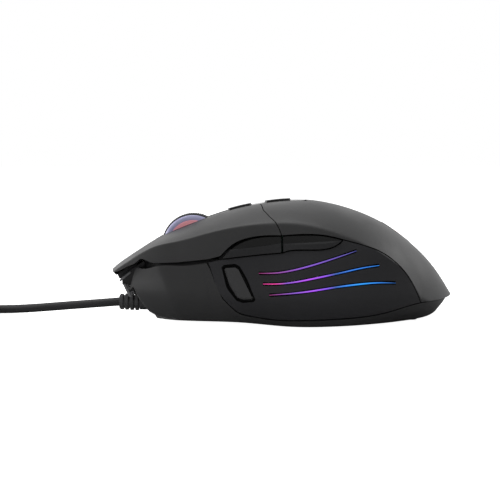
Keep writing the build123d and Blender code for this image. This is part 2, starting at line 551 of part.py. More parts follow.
# ---------------------------------------------------------------- inner frame, its screws and the hinge pins
frame = block(-16.5, 8.0, -20.2, 20.2, FRAME_Z, FRAME_TOP)
frame -= block(-12.0, 1.0, -3.0, 3.0, FRAME_Z - 1, FRAME_TOP + 1)
for side in SIDES.values():
    for y in (LUG_INNER, LUG_OUTER - LUG):
        low, high = sorted((side * y, side * (y + LUG)))
        frame += block(PIN_X - 2.3, PIN_X + 2.3, low, high, FRAME_TOP, PIN_Z)
        frame += crossbar(PIN_X, PIN_Z, low, high, 2.3)
    frame -= crossbar(PIN_X, PIN_Z, side * 8, side * 22, PIN_RADIUS)
    frame -= hole_for_screw(FRAME_SCREWS[0], side * FRAME_SCREWS[1], FRAME_Z - 1, FRAME_TOP + 1)
keep("inner_frame", frame)
keep("hinge_pins", [crossbar(PIN_X, PIN_Z, side * LUG_INNER, side * LUG_OUTER, PIN_RADIUS) for side in SIDES.values()])
keep("frame_screws", [Pos(FRAME_SCREWS[0], side * FRAME_SCREWS[1], 0) * screw(FRAME_TOP) for side in SIDES.values()])
keep("case_screws", [Pos(CASE_SCREWS[0], side * CASE_SCREWS[1], 0) * screw(4.0, False, CASE_JOIN + SHANK - 4.0)
                     for side in SIDES.values()])
keep("board_screws", [Pos(x, y, 0) * screw(BOARD_TOP, True, 6.0) for x, y in BOARD_SCREWS])
keep("side_board_screws", [Pos(x, SIDE_BOARD_OUT, SIDE_SCREW_Z) * Rot(90, 0, 0) * screw(0, True, 4.2) for x in POST_XS])

# ---------------------------------------------------------------- circuit boards and what stands on them
board = block(-45.0, -25.0, -21.0, 21.0, BOARD_BOTTOM, BOARD_TOP)
board += block(-25.0, 38.0, -13.8, 13.8, BOARD_BOTTOM, BOARD_TOP)
board -= block(-4.0, 4.0, -3.0, 3.0, BOARD_BOTTOM - 1, BOARD_TOP + 1)
for x, y in BOARD_SCREWS:
    board -= hole_for_screw(x, y, BOARD_BOTTOM - 1, BOARD_TOP + 1)
keep("main_board", board)
SLOT_GAP = 0.15
PLUNGER_LONG, PLUNGER_WIDE = 1.8, 3.0
for name, side in SIDES.items():
    y = side * SWITCH_Y
    top = BOARD_TOP + SWITCH_HEIGHT
    body = block(SWITCH_X - SWITCH_LENGTH / 2, SWITCH_X + SWITCH_LENGTH / 2, y - SWITCH_WIDTH / 2,
                 y + SWITCH_WIDTH / 2, BOARD_TOP, top)
    well = block(SWITCH_X - PLUNGER_LONG / 2 - SLOT_GAP, SWITCH_X + PLUNGER_LONG / 2 + SLOT_GAP,
                 y - PLUNGER_WIDE / 2 - SLOT_GAP, y + PLUNGER_WIDE / 2 + SLOT_GAP, top - 2.6, top + 1)
    keep(f"{name}_click_switch", body - well)
    plunger = block(SWITCH_X - PLUNGER_LONG / 2, SWITCH_X + PLUNGER_LONG / 2, y - PLUNGER_WIDE / 2,
                    y + PLUNGER_WIDE / 2, top - 1.9, top + PLUNGER_PROUD)
    keep(f"{name}_switch_plunger", plunger)
WHEEL_SWITCH_X = -19.3
WHEEL_PLUNGER_TOP = 14.5
body = block(WHEEL_SWITCH_X - TACT / 2, WHEEL_SWITCH_X + TACT / 2, -TACT / 2, TACT / 2, BOARD_TOP,
             BOARD_TOP + TACT_HEIGHT)
keep("wheel_click_switch", body - rod(WHEEL_SWITCH_X, 0, BOARD_TOP + 1.2, 20, TACT_PLUNGER + 0.1))
keep("wheel_switch_plunger", rod(WHEEL_SWITCH_X, 0, BOARD_TOP + 2.0, WHEEL_PLUNGER_TOP, TACT_PLUNGER))
sensor = block(-6.0, 6.0, -5.0, 5.0, BOARD_TOP, BOARD_TOP + 2.6)
keep("optical_sensor", sensor - block(-1.5, 1.5, -1.5, 1.5, BOARD_TOP - 1, BOARD_TOP + 1))
lens = block(-9.0, 9.0, -8.0, 8.0, BOARD_BOTTOM - 1.6, BOARD_BOTTOM)
lens += rod(0, 0, FOOT_PROUD + 0.8, BOARD_BOTTOM - 1.0, 3.4)
keep("sensor_lens", lens)
chip = block(14.0, 21.0, -3.5, 3.5, BOARD_TOP, BOARD_TOP + 1.0)
keep("controller_chip", chip)
plug_in = block(-44.6, -40.6, -4.4, 4.4, BOARD_TOP, BOARD_TOP + 3.0)
keep("cable_connector", plug_in - block(-44.0, -41.2, -3.8, 3.8, BOARD_TOP + 1.0, BOARD_TOP + 5))
keep("wheel_led", block(WHEEL_X - 1.6, WHEEL_X + 1.6, -1.4, 1.4, BOARD_TOP, BOARD_TOP + 1.5))

side_board = block(-23.0, 19.0, SIDE_BOARD_OUT, SIDE_BOARD_IN, *SIDE_BOARD_Z)
for x in POST_XS:
    side_board -= crossbar(x, SIDE_SCREW_Z, SIDE_BOARD_OUT - 1, SIDE_BOARD_IN + 1, SCREW_RADIUS + BITE)
keep("side_board", side_board)
side_bodies = []
PLUNGER_IN = 0.9
for name, (x, z) in PRESS_AT.items():
    half = SIDE_TACT / 2
    body = block(x - half, x + half, SIDE_BOARD_OUT - SIDE_TACT_DEEP, SIDE_BOARD_OUT, z - half, z + half)
    body -= crossbar(x, z, SIDE_BOARD_OUT - SIDE_TACT_DEEP - 1, SIDE_BOARD_OUT - 0.4, 1.0 + 0.1)
    side_bodies.append(body)
    keep(f"{name}_plunger", crossbar(x, z, STEM_TIP, SIDE_BOARD_OUT - SIDE_TACT_DEEP + PLUNGER_IN, 1.0))
keep("side_switches", side_bodies)
LED_PLACES = ((-6.0, 14.0), (2.0, 16.0), (10.5, 18.0))
keep("side_leds", [block(x - 1.5, x + 1.5, SIDE_BOARD_OUT - 0.9, SIDE_BOARD_OUT, z - 1.0, z + 1.0)
                   for x, z in LED_PLACES])

dpi_board = block(-19.6, 5.6, -4.3, 4.3, FRAME_TOP, FRAME_TOP + 1.2)
keep("dpi_board", dpi_board)
DPI_BOARD_TOP = FRAME_TOP + 1.2
DPI_SWITCH_TOP = DPI_BOARD_TOP + TACT_HEIGHT
DPI_PLUNGER_TOP = DPI_SWITCH_TOP + 0.8
dpi_bodies = []
proud_top = under_top(-DPI_PROUD)
for name, (x0, x1) in DPI_XS.items():
    x = (x0 + x1) / 2
    body = block(x - TACT / 2, x + TACT / 2, -TACT / 2, TACT / 2, DPI_BOARD_TOP, DPI_SWITCH_TOP)
    body -= rod(x, 0, DPI_BOARD_TOP + 1.0, DPI_SWITCH_TOP + 1, TACT_PLUNGER + 0.1)
    dpi_bodies.append(body)
    keep(f"dpi_{name}_plunger", rod(x, 0, DPI_BOARD_TOP + 1.8, DPI_PLUNGER_TOP, TACT_PLUNGER))
    cap = block(x0, x1, -DPI_HALF, DPI_HALF, DPI_PLUNGER_TOP + 0.6, ABOVE) & proud_top
    cap = fillet(cap.edges().filter_by(Axis.Z), 0.8)
    cap += block(x0 - 0.9, x1 + 0.9, -DPI_HALF - 0.9, DPI_HALF + 0.9, DPI_PLUNGER_TOP + 0.6, DPI_PLUNGER_TOP + 1.6)
    cap += rod(x, 0, DPI_PLUNGER_TOP, DPI_PLUNGER_TOP + 1.0, 1.8)
    keep(f"dpi_button_{name}", cap)
keep("dpi_switches", dpi_bodies)

# ---------------------------------------------------------------- scroll wheel and its carrier
TYRE_INNER = 11.0
TYRE_HALF = 3.3
TYRE_EDGE = 0.4
RING_INNER = 9.3
RING_EDGE = 0.6
HUB_HALF = 3.4
DISH_RADIUS = 8.2
DISH_DEEP = 0.8
NAVE_RADIUS = 2.6
place_wheel = Pos(WHEEL_X, 0, WHEEL_Z) * Rot(90, 0, 0)


def wheel_ring(inner, out, half, edge):
    ring = Cylinder(out, 2 * half) - Cylinder(inner, 2 * half + 1)
    ring = chamfer(ring.edges().filter_by(GeomType.CIRCLE).sort_by(SortBy.RADIUS)[-2:], edge)
    return place_wheel * ring


keep("wheel_tyre", wheel_ring(TYRE_INNER, WHEEL_RADIUS, TYRE_HALF, TYRE_EDGE))
keep("wheel_light_ring", wheel_ring(RING_INNER, TYRE_INNER, WHEEL_HALF, RING_EDGE))
hub = Cylinder(RING_INNER, 2 * HUB_HALF)
for face_z in (-HUB_HALF, HUB_HALF):
    hub -= Pos(0, 0, face_z) * Cylinder(DISH_RADIUS, 2 * DISH_DEEP)
hub += Cylinder(NAVE_RADIUS, 2 * (ARM_INNER - 0.2))
axle = crossbar(WHEEL_X, WHEEL_Z, -ARM_OUTER - 0.6, ENCODER_END - 0.6, AXLE_RADIUS)
keep("wheel_hub", (place_wheel * hub) + axle)
ARM = ((-51.2, 10.6), (-47.2, 10.6), (-36.2, 21.4), (-30.4, 22.6), (-18.0, 22.6), (-18.0, 26.0), (-29.6, 26.4),
       (-30.8, 29.6), (-36.2, 29.6), (-37.6, 26.0), (-51.2, 14.4))
carrier = profile_bar(ARM, ARM_INNER, ARM_OUTER) + profile_bar(ARM, -ARM_OUTER, -ARM_INNER)
carrier += block(-51.2, -47.6, -ARM_OUTER, ARM_OUTER, 10.6, 14.4)
carrier += block(-20.6, -18.0, -ARM_OUTER, ARM_OUTER, 22.6, 26.0)
carrier += block(-20.6, -18.0, -2.0, 2.0, WHEEL_PLUNGER_TOP + 0.12, 23.0)
carrier += crossbar(PIVOT_X, PIVOT_Z, -PIVOT_LUGS[1] + 0.3, PIVOT_LUGS[1] - 0.3, PIVOT_RADIUS)
carrier -= crossbar(WHEEL_X, WHEEL_Z, -ARM_OUTER - 1, ARM_OUTER + 1, AXLE_RADIUS + RUNNING)
keep("wheel_carrier", carrier)
encoder = block(-38.0, -29.0, ARM_OUTER, ENCODER_END, 19.8, 29.0)
encoder -= crossbar(WHEEL_X, WHEEL_Z, ARM_OUTER - 1, ENCODER_END + 1, AXLE_RADIUS + RUNNING)
keep("wheel_encoder", encoder)

# ---------------------------------------------------------------- feet
front_foot = block(-40.0, -33.0, -11.0, 11.0, 0, FOOT_PROUD)
rear_foot = block(43.4, 48.8, -12.0, 12.0, 0, FOOT_PROUD)
keep("foot_front", fillet(front_foot.edges().filter_by(Axis.Z), 3.0))
keep("foot_rear", fillet(rear_foot.edges().filter_by(Axis.Z), 2.4))

# ---------------------------------------------------------------- cord, coil and plug
relief = Pos((EXIT_X - 49.4) / 2, 0, EXIT_Z) * Rot(0, 90, 0) * Cylinder(RELIEF_RADIUS - 0.5, EXIT_X * -1 - 49.4)
relief += Pos(-51.6, 0, EXIT_Z) * Rot(0, 90, 0) * Cylinder(RELIEF_RADIUS, 4.4)
for k in range(4):
    relief += Pos(-60.6 + 1.9 * k, 0, EXIT_Z) * Rot(0, 90, 0) * Cylinder(RELIEF_RADIUS + 0.1 * k, 1.1)
keep("strain_relief", relief)

COIL_X, COIL_Y = -144.0, -17.0
COIL_RADIUS = 19.0
COIL_ACROSS, COIL_LAYERS = 4, 4
CORD_WIDTH = 2 * CORD_RADIUS
OUTER_TURN = COIL_RADIUS + CORD_WIDTH * (COIL_ACROSS - 1) / 2
LEAD = (
    (EXIT_X, 0.0, EXIT_Z), (-80.0, 0.0, 3.6), (-103.0, 1.6, CORD_RADIUS),
    (-125.0, COIL_Y + OUTER_TURN - 0.5, CORD_RADIUS), (COIL_X, COIL_Y + OUTER_TURN, CORD_RADIUS))
TAIL_TURN = math.radians(230)
TAIL_OUT = OUTER_TURN + CORD_WIDTH * 0.9      # the last half turn leans on the outside of the coil
TAIL_START = (COIL_X + TAIL_OUT * math.cos(TAIL_TURN), COIL_Y + TAIL_OUT * math.sin(TAIL_TURN), CORD_RADIUS)
TAIL = (TAIL_START, (TAIL_START[0] + 6.9, TAIL_START[1] - 5.8, CORD_RADIUS),
        (TAIL_START[0] + 16.3, TAIL_START[1] - 9.2, 2.4), (TAIL_START[0] + 25.7, TAIL_START[1] - 10.5, 4.0))


def cord_tube(name, route):
    """A round tube along straight runs joined by the largest arcs that they allow."""
    points = [Vector(*p) for p in route]
    radii = []
    for a, b, c in zip(points, points[1:], points[2:]):
        turn = math.radians((b - a).get_angle(c - b))
        radii.append(0.45 * min((b - a).length, (c - b).length) / math.tan(turn / 2))
    print(name, "bend radii", [round(r, 1) for r in radii])
    path = FilletPolyline(*points, radius=radii)
    tube = sweep(Plane(origin=path @ 0, z_dir=path % 0) * Circle(CORD_RADIUS), path=path)
    expected = math.pi * CORD_RADIUS ** 2 * path.length
    print(name, "length", round(path.length, 1), "volume over expected", round(tube.volume / expected, 4))
    keep(name, tube)


cord_tube("cord_lead", LEAD)
cord_tube("cord_tail", TAIL)
BUNDLE_HALF = CORD_WIDTH * COIL_ACROSS / 2
BUNDLE_HEIGHT = CORD_WIDTH * (1 + (COIL_LAYERS - 1) * math.sqrt(3) / 2)
bundle = Plane.XZ * Pos(COIL_RADIUS, BUNDLE_HEIGHT / 2) * RectangleRounded(2 * BUNDLE_HALF, BUNDLE_HEIGHT, CORD_RADIUS)
keep("cord_coil", Pos(COIL_X, COIL_Y, 0) * revolve(bundle, Axis.Z))

PLUG_TURN = math.degrees(math.atan2(TAIL[-1][1] - TAIL[-2][1], TAIL[-1][0] - TAIL[-2][0]))
plug_place = Pos(*TAIL[-1]) * Rot(0, 0, PLUG_TURN)
BOOT_LONG, PLUG_LONG, PLUG_WIDE, PLUG_THICK = 7.0, 17.0, 15.4, 7.6
SHELL_LONG, SHELL_WIDE, SHELL_THICK, SHELL_WALL = 11.8, 12.0, 4.5, 0.4
boot = Rot(0, 90, 0) * Pos(0, 0, BOOT_LONG / 2 - 0.5) * Cone(2.3, 3.2, BOOT_LONG)
grip_block = Box(PLUG_LONG, PLUG_WIDE, PLUG_THICK)
grip_block = fillet(grip_block.edges().filter_by(Axis.X), 1.4)
boot += Pos(BOOT_LONG - 1.0 + PLUG_LONG / 2, 0, 0) * grip_block
PLUG_FACE = BOOT_LONG - 1.0 + PLUG_LONG
keep("usb_plug_body", plug_place * boot)
case = Box(SHELL_LONG, SHELL_WIDE, SHELL_THICK)
case -= Pos(1.0, 0, 0) * Box(SHELL_LONG, SHELL_WIDE - 2 * SHELL_WALL, SHELL_THICK - 2 * SHELL_WALL)
keep("usb_plug_shell", plug_place * Pos(PLUG_FACE + SHELL_LONG / 2, 0, 0) * case)
tongue = Pos(PLUG_FACE + 1.0 + (SHELL_LONG - 1.8) / 2, 0, -0.9) * Box(SHELL_LONG - 1.8, SHELL_WIDE - 2 * SHELL_WALL, 1.9)
keep("usb_plug_tongue", plug_place * tongue)
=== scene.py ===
import math

import bmesh
import bpy
import numpy as np
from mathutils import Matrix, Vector


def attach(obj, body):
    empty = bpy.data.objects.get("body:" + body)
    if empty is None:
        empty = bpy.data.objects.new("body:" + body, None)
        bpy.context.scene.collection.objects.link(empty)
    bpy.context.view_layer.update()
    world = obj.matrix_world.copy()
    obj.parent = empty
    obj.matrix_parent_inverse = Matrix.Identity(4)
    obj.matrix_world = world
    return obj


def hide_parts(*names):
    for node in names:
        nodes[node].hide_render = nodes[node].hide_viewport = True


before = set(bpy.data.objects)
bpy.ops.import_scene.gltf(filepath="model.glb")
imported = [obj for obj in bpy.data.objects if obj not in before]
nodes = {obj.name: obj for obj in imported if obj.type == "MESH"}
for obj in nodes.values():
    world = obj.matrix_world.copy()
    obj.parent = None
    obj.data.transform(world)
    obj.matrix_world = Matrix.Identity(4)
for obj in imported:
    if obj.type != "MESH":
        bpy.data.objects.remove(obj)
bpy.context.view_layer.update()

MM = 0.001

# ---- The view: a lens close by, nearly level with the table, that looks at the thumb side.
LOOK_AT = (-0.0124, 0.0, 0.0245)
LENS_AWAY = 0.36
LENS_RISE = math.radians(5.2)
LENS_LENGTH = 69.05

lens = bpy.data.cameras.new("lens")
lens.lens = LENS_LENGTH
lens.sensor_width = 36.0
lens.clip_start = 0.01
view = bpy.data.objects.new("view", lens)
view.location = (LOOK_AT[0], LOOK_AT[1] - LENS_AWAY * math.cos(LENS_RISE),
                 LOOK_AT[2] + LENS_AWAY * math.sin(LENS_RISE))
view.rotation_euler = (math.pi / 2 - LENS_RISE, 0, 0)
bpy.context.collection.objects.link(view)
bpy.context.scene.camera = view


# ---- The lead: a thin round rubber-covered cable of 1.85 m. It leaves through a ribbed
# relief under the nose, runs along the table and is wound into a small coil; the flat plug
# that goes into the computer lies beside the coil.
def new_group(name, inputs, outputs):
    """An empty shader node group with number inputs and number outputs, and its two end nodes."""
    group = bpy.data.node_groups.new(name, "ShaderNodeTree")
    for label, value in inputs.items():
        group.interface.new_socket(label, in_out="INPUT", socket_type="NodeSocketFloat").default_value = value
    for label in outputs:
        group.interface.new_socket(label, in_out="OUTPUT", socket_type="NodeSocketFloat")
    return group, group.nodes.new("NodeGroupInput"), group.nodes.new("NodeGroupOutput")


def moulded_skin():
    """The skin of a moulded part: Height is a fine even grain, Patch is where hands and dust have
    made it a little duller, from 0 to 1, and both are noises of the place on the object."""
    group, given, made = new_group("moulded_skin", {"Grain": 5000.0, "Patches": 60.0}, ["Height", "Patch"])
    place = group.nodes.new("ShaderNodeTexCoord")
    grain = group.nodes.new("ShaderNodeTexNoise")
    grain.inputs["Detail"].default_value = 1.0
    patch = group.nodes.new("ShaderNodeTexNoise")
    patch.inputs["Detail"].default_value = 4.0
    stretch = group.nodes.new("ShaderNodeMapRange")
    stretch.inputs["From Min"].default_value = 0.35
    stretch.inputs["From Max"].default_value = 0.65
    join = group.links.new
    for noise, size in ((grain, "Grain"), (patch, "Patches")):
        join(place.outputs["Object"], noise.inputs["Vector"])
        join(given.outputs[size], noise.inputs["Scale"])
    join(grain.outputs["Fac"], made.inputs["Height"])
    join(patch.outputs["Fac"], stretch.inputs["Value"])
    join(stretch.outputs["Result"], made.inputs["Patch"])
    return group


SKIN = moulded_skin()


def finish(name, colour, duller, rough, rougher, grain=5000.0, depth=0.02, patches=60.0, **plain):
    """A moulded finish: colour turns to duller, and roughness rough to rougher, over the skin's
    patches; grain is its lines per metre, and depth its height in millimetres. What is in plain
    is set on the shader as it stands."""
    made = bpy.data.materials.new(name)
    made.use_nodes = True
    tree = made.node_tree
    shader = tree.nodes["Principled BSDF"]
    skin = tree.nodes.new("ShaderNodeGroup")
    skin.node_tree = SKIN
    skin.inputs["Grain"].default_value = grain
    skin.inputs["Patches"].default_value = patches
    tint = tree.nodes.new("ShaderNodeMix")
    tint.data_type = "RGBA"
    tint.inputs[6].default_value = (*colour, 1)
    tint.inputs[7].default_value = (*duller, 1)
    gloss = tree.nodes.new("ShaderNodeMapRange")
    gloss.inputs["To Min"].default_value = rough
    gloss.inputs["To Max"].default_value = rougher
    relief = tree.nodes.new("ShaderNodeBump")
    relief.inputs["Distance"].default_value = depth * MM
    relief.inputs["Strength"].default_value = 1.0
    join = tree.links.new
    join(skin.outputs["Patch"], tint.inputs["Factor"])
    join(tint.outputs[2], shader.inputs["Base Color"])
    join(skin.outputs["Patch"], gloss.inputs["Value"])
    join(gloss.outputs["Result"], shader.inputs["Roughness"])
    join(skin.outputs["Height"], relief.inputs["Height"])
    join(relief.outputs["Normal"], shader.inputs["Normal"])
    for socket, value in plain.items():
        shader.inputs[socket.replace("_", " ")].default_value = value
    return made


def dress(material, *names):
    """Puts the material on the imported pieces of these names."""
    for name in names:
        for held in nodes[name].material_slots:
            held.material = material


CORD_WIDTH = 3.2
COIL_X, COIL_Y = -144.0, -17.0
TURN_RADII = (23.8, 20.6, 17.4, 14.2, 15.8, 19.0, 22.2) * 2
TURN_HEIGHTS = (1.6,) * 4 + (4.37,) * 3 + (7.14,) * 4 + (9.91,) * 3
TURN_POINTS = 16
LEAD = ((-61.5, 0, 5.0), (-80, 0, 3.6), (-103, 1.6, 1.6), (-125, 6.3, 1.6), (-144, 6.8, 1.6))
TAIL_ANGLE = 230
TAIL = ((-161.15, -37.44, 1.6), (-154.25, -43.24, 1.6), (-144.85, -46.64, 2.4), (-135.45, -47.94, 4.0))


def coil_points():
    """The coil's turns, one after the other: each keeps its radius and height for half a turn and
    moves smoothly to the next one's over the other half. The last part of a turn comes down the
    outside to where the tail leaves."""
    last = len(TURN_RADII) + (TAIL_ANGLE - 90) / 360
    turn = np.arange(1, round(last * TURN_POINTS)) / TURN_POINTS
    whole = np.floor(turn).astype(int)
    step = np.clip(turn % 1 * 2 - 1, 0, 1)
    step = step * step * (3 - 2 * step)
    radii = np.array(TURN_RADII + (26.7, 26.7))
    heights = np.array(TURN_HEIGHTS + (1.6, 1.6))
    away = whole == len(TURN_RADII)
    step[away] = np.clip(turn[away] % 1 / 0.34, 0, 1)
    from_turn = np.where(away, len(TURN_RADII) - 1, whole)
    radius = radii[from_turn] * (1 - step) + radii[from_turn + 1] * step
    height = heights[from_turn] * (1 - step) + heights[from_turn + 1] * step
    radius = radius / math.cos(math.pi / TURN_POINTS)
    angle = math.pi / 2 + 2 * math.pi * turn
    return np.stack([COIL_X + radius * np.cos(angle), COIL_Y + radius * np.sin(angle), height], axis=1)


def cord_line(name, points, width):
    """A round curve of one open spline along the control points, in millimetres."""
    line = bpy.data.curves.new(name, "CURVE")
    line.dimensions = "3D"
    line.bevel_depth = width / 2 * MM
    line.bevel_resolution = 4
    line.resolution_u = 4
    line.use_fill_caps = True
    spline = line.splines.new("NURBS")
    spline.points.add(len(points) - 1)
    spline.points.foreach_set("co", np.c_[points * MM, np.ones(len(points))].ravel())
    spline.order_u = 3
    spline.use_endpoint_u = True
    piece = bpy.data.objects.new(name, line)
    bpy.context.collection.objects.link(piece)
    return piece


cord = cord_line("cord", np.concatenate([LEAD, coil_points(), TAIL]), CORD_WIDTH)
cord_rubber = finish("cord_rubber", (0.010, 0.010, 0.011), (0.014, 0.014, 0.015), 0.42, 0.55,
                     grain=2600.0, depth=0.03, Specular_IOR_Level=0.25)
cord.data.materials.append(cord_rubber)
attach(cord, "case")
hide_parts("cord_lead", "cord_coil", "cord_tail")
soft_rubber = finish("soft_rubber", (0.016, 0.016, 0.017), (0.024, 0.024, 0.026), 0.45, 0.6, grain=2600.0, depth=0.03)
bright_steel = finish("bright_steel", (0.55, 0.55, 0.56), (0.47, 0.47, 0.49), 0.22, 0.36, grain=1500.0,
                      depth=0.004, Metallic=1.0)
white_nylon = finish("white_nylon", (0.78, 0.78, 0.76), (0.70, 0.70, 0.67), 0.42, 0.55, depth=0.01)
dress(cord_rubber, "usb_plug_body")
dress(soft_rubber, "strain_relief")
dress(bright_steel, "usb_plug_shell")
dress(white_nylon, "usb_plug_tongue", "cable_connector")

# ---- The base: one moulded black tub. Its sides lean in a little from their widest line, its
# cheeks are bevelled towards the raked nose, and its lower edge lifts towards both ends. The
# underside has a window for the sensor; a wedge and slats close the gap under the nose.
HALF_LENGTH = 62.0
HALF_WIDTH = 37.0
CROWN_HEIGHT = 43.4
BELLY_HEIGHT = 8.8
FOOT_PROUD = 0.6
WALL = 1.8


def flowing(points, across=1.0, up=1.0):
    """A smooth line through a few (place, value) pairs: the natural cubic spline, as a function
    that takes whole arrays of places."""
    xs, ys = np.array(points, float).T * np.array([[across], [up]])
    gap = np.diff(xs)
    rows = np.eye(len(xs))
    turn = np.zeros(len(xs))
    mid = np.arange(1, len(xs) - 1)
    rows[mid, mid - 1] = gap[:-1]
    rows[mid, mid] = 2 * (gap[:-1] + gap[1:])
    rows[mid, mid + 1] = gap[1:]
    turn[mid] = 6 * np.diff(np.diff(ys) / gap)
    bend = np.linalg.solve(rows, turn)

    def value(x):
        x = np.asarray(x, float)
        i = np.clip(np.searchsorted(xs, x) - 1, 0, len(xs) - 2)
        a, b, h = xs[i + 1] - x, x - xs[i], gap[i]
        curve = (bend[i] * a ** 3 + bend[i + 1] * b ** 3) / (6 * h)
        return curve + (ys[i] / h - bend[i] * h / 6) * a + (ys[i + 1] / h - bend[i + 1] * h / 6) * b

    return value


crown = flowing(
    ((-1.06, 0.37), (-1.0, 0.443), (-0.87, 0.572), (-0.74, 0.685), (-0.61, 0.770), (-0.45, 0.857),
     (-0.29, 0.929), (-0.13, 0.976), (0.03, 1.0), (0.16, 0.998), (0.29, 0.969), (0.42, 0.917),
     (0.55, 0.841), (0.68, 0.730), (0.77, 0.628), (0.87, 0.487), (0.935, 0.365), (1.0, 0.215)),
    HALF_LENGTH, CROWN_HEIGHT)
fall = flowing(
    ((-1.06, 1.2), (-1.0, 1.5), (-0.74, 2.4), (-0.61, 4.8), (-0.45, 6.7), (-0.29, 8.4), (-0.13, 9.8),
     (0.03, 10.8), (0.16, 11.8), (0.32, 12.9), (0.48, 13.3), (0.61, 13.9), (0.70, 15.4), (0.77, 16.7),
     (0.84, 14.3), (0.93, 7.4), (1.0, 0.5)),
    HALF_LENGTH)
thumb_width = flowing(
    ((-1.06, 0.60), (-1.0, 0.635), (-0.74, 0.784), (-0.45, 0.860), (-0.13, 0.908), (0.03, 0.946),
     (0.19, 0.984), (0.32, 1.0), (0.6, 1.0), (1.06, 1.0)),
    HALF_LENGTH, HALF_WIDTH)
grip_width = flowing(
    ((-1.06, 0.60), (-1.0, 0.635), (-0.74, 0.770), (-0.45, 0.835), (-0.13, 0.870), (0.03, 0.915),
     (0.19, 0.968), (0.32, 1.0), (0.6, 1.0), (1.06, 1.0)),
    HALF_LENGTH, HALF_WIDTH)
lean = flowing(((0.0, 3.6), (3.5, 2.1), (8.8, 0.0), (16, 0.9), (23, 2.2), (30, 3.9), (37, 6.2), (47, 10.5)))
tuck = flowing(((0.0, 6.4), (3.5, 3.6), (8.8, 0.0), (16, 0.0), (47, 0.0)))
WIDEST_AT = 0.32 * HALF_LENGTH
TAIL_ROUND = 0.4
TAIL_POWER = 2.1
FALL_POWER = 2.4
GRIP_SIDE_FALL = 1.12


def half_width(x, z, side, short=0.0):
    """Half the body's width at a place and height: the width there less the lean of the wall,
    drawn in towards the tail as the edge of an ellipse is. short brings the tail forwards."""
    width = np.where(side < 0, thumb_width(x), grip_width(x)) - lean(z)
    tail = HALF_LENGTH + TAIL_ROUND - tuck(z) - short
    share = np.clip((x - WIDEST_AT) / (tail - WIDEST_AT), 0, 1)
    return width * (1 - share ** TAIL_POWER) ** (1 / TAIL_POWER)


def top_height(x, y):
    """Height of the top: the crown line less a fall that grows with a power of the share of the
    half-width."""
    side = np.where(y < 0, -1, 1)
    edge = np.maximum(half_width(np.minimum(x, HALF_LENGTH), BELLY_HEIGHT, side), 1.0)
    return crown(x) - fall(x) * np.where(side > 0, GRIP_SIDE_FALL, 1.0) * np.abs(y / edge) ** FALL_POWER


def mesh_piece(name, sheets, materials, body, slot, *packed, thick=0.0, round_off=0.0, smooth=True, closed=False):
    """One object from sheets, each a grid of points in millimetres, or (grid, which material,
    which faces to leave out). Equal points are joined. thick gives the sheet a wall on its inside,
    and round_off rounds its edges, both in millimetres. The faces of a closed form are turned out,
    and a sheet's faces away from the body's middle."""
    points, faces, finishes, start = [], [], [], 0
    for sheet in sheets:
        grid, which, left_out = sheet if isinstance(sheet, tuple) else (sheet, 0, None)
        rows, columns = grid.shape[:2]
        corner = (np.arange(rows - 1)[:, None] * columns + np.arange(columns - 1)) + start
        quads = np.stack([corner, corner + columns, corner + columns + 1, corner + 1], -1)
        kept = np.ones(corner.shape, bool) if left_out is None else ~left_out
        points.append(grid.reshape(-1, 3))
        faces.append(quads[kept])
        finishes.append(np.full(kept.sum(), which))
        start += rows * columns
    points = np.concatenate(points) * MM
    _, first, where = np.unique(np.round(points, 7), axis=0, return_index=True, return_inverse=True)
    faces = where.reshape(-1)[np.concatenate(faces)]
    finishes = np.concatenate(finishes)
    mesh = bpy.data.meshes.new(name)
    flat = [tuple(dict.fromkeys(face)) for face in faces.tolist()]
    good = [k for k, face in enumerate(flat) if len(face) > 2]
    mesh.from_pydata(points[first].tolist(), [], [flat[k] for k in good])
    for material in materials:
        mesh.materials.append(material)
    mesh.polygons.foreach_set("material_index", finishes[good])
    mesh.polygons.foreach_set("use_smooth", np.full(len(good), smooth))
    mesh.validate()
    if closed:
        shell = bmesh.new()
        shell.from_mesh(mesh)
        bmesh.ops.recalc_face_normals(shell, faces=shell.faces)
        shell.to_mesh(mesh)
        shell.free()
    elif thick:
        away = sum(face.area * face.normal.dot(face.center - Vector((0, 0, 0.012))) for face in mesh.polygons)
        if away < 0:
            mesh.flip_normals()
    piece = bpy.data.objects.new(name, mesh)
    bpy.context.collection.objects.link(piece)
    if thick:
        wall = piece.modifiers.new("wall", "SOLIDIFY")
        wall.thickness = thick * MM
        wall.offset = -1
        wall.use_even_offset = False
    if round_off:
        edge = piece.modifiers.new("edge", "BEVEL")
        edge.width = round_off * MM
        edge.segments = 2
        edge.limit_method = "ANGLE"
        edge.angle_limit = math.radians(50)
        edge.harden_normals = True
    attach(piece, body)
    if packed:
        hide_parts(*packed)
    return piece


PANEL_LOW = ((-27.0, 23.0), (-25.5, 18.7), (-22.2, 11.3), (-19.4, 8.2), (-16.4, 5.7), (-12.5, 4.5),
             (-6.6, 3.5), (3.3, 3.1), (15.0, 3.8), (24.6, 4.6), (34.6, 6.2), (41.1, 7.8), (46.8, 8.8))
panel_low = flowing(PANEL_LOW[3:])
cheek_top = flowing(((-62, 14.5), (-54.5, 14.5), (-53.2, 19.2), (-51.0, 20.5), (-45.5, 21.4),
                     (-36.0, 21.9), (-27, 23.0)))
sill = flowing(((-62, 6.0), (-50, 4.6), (-44, 3.6), (-34, 2.7), (-19, 2.2), (-9, 1.5), (1, 0.8), (13, 1.0),
                (20, 1.4), (30, 2.0), (38, 2.4), (48, 2.9), (53, 3.0), (57, 4.0), (62, 5.2)))
BASE_SHORT = 1.5
front_slope = flowing(((-1, 17), (1.5, 14), (3.2, 10.2), (4.3, 7.6), (6.9, 4.9), (10, 2.8), (13.2, 1.5),
                       (19.5, 0), (30, -1)))
cheek_line = flowing(((0.0, -37.4), (3.1, -37.9), (9.4, -39.6), (15.4, -42.0), (20.0, -44.0), (24, -45.6)))
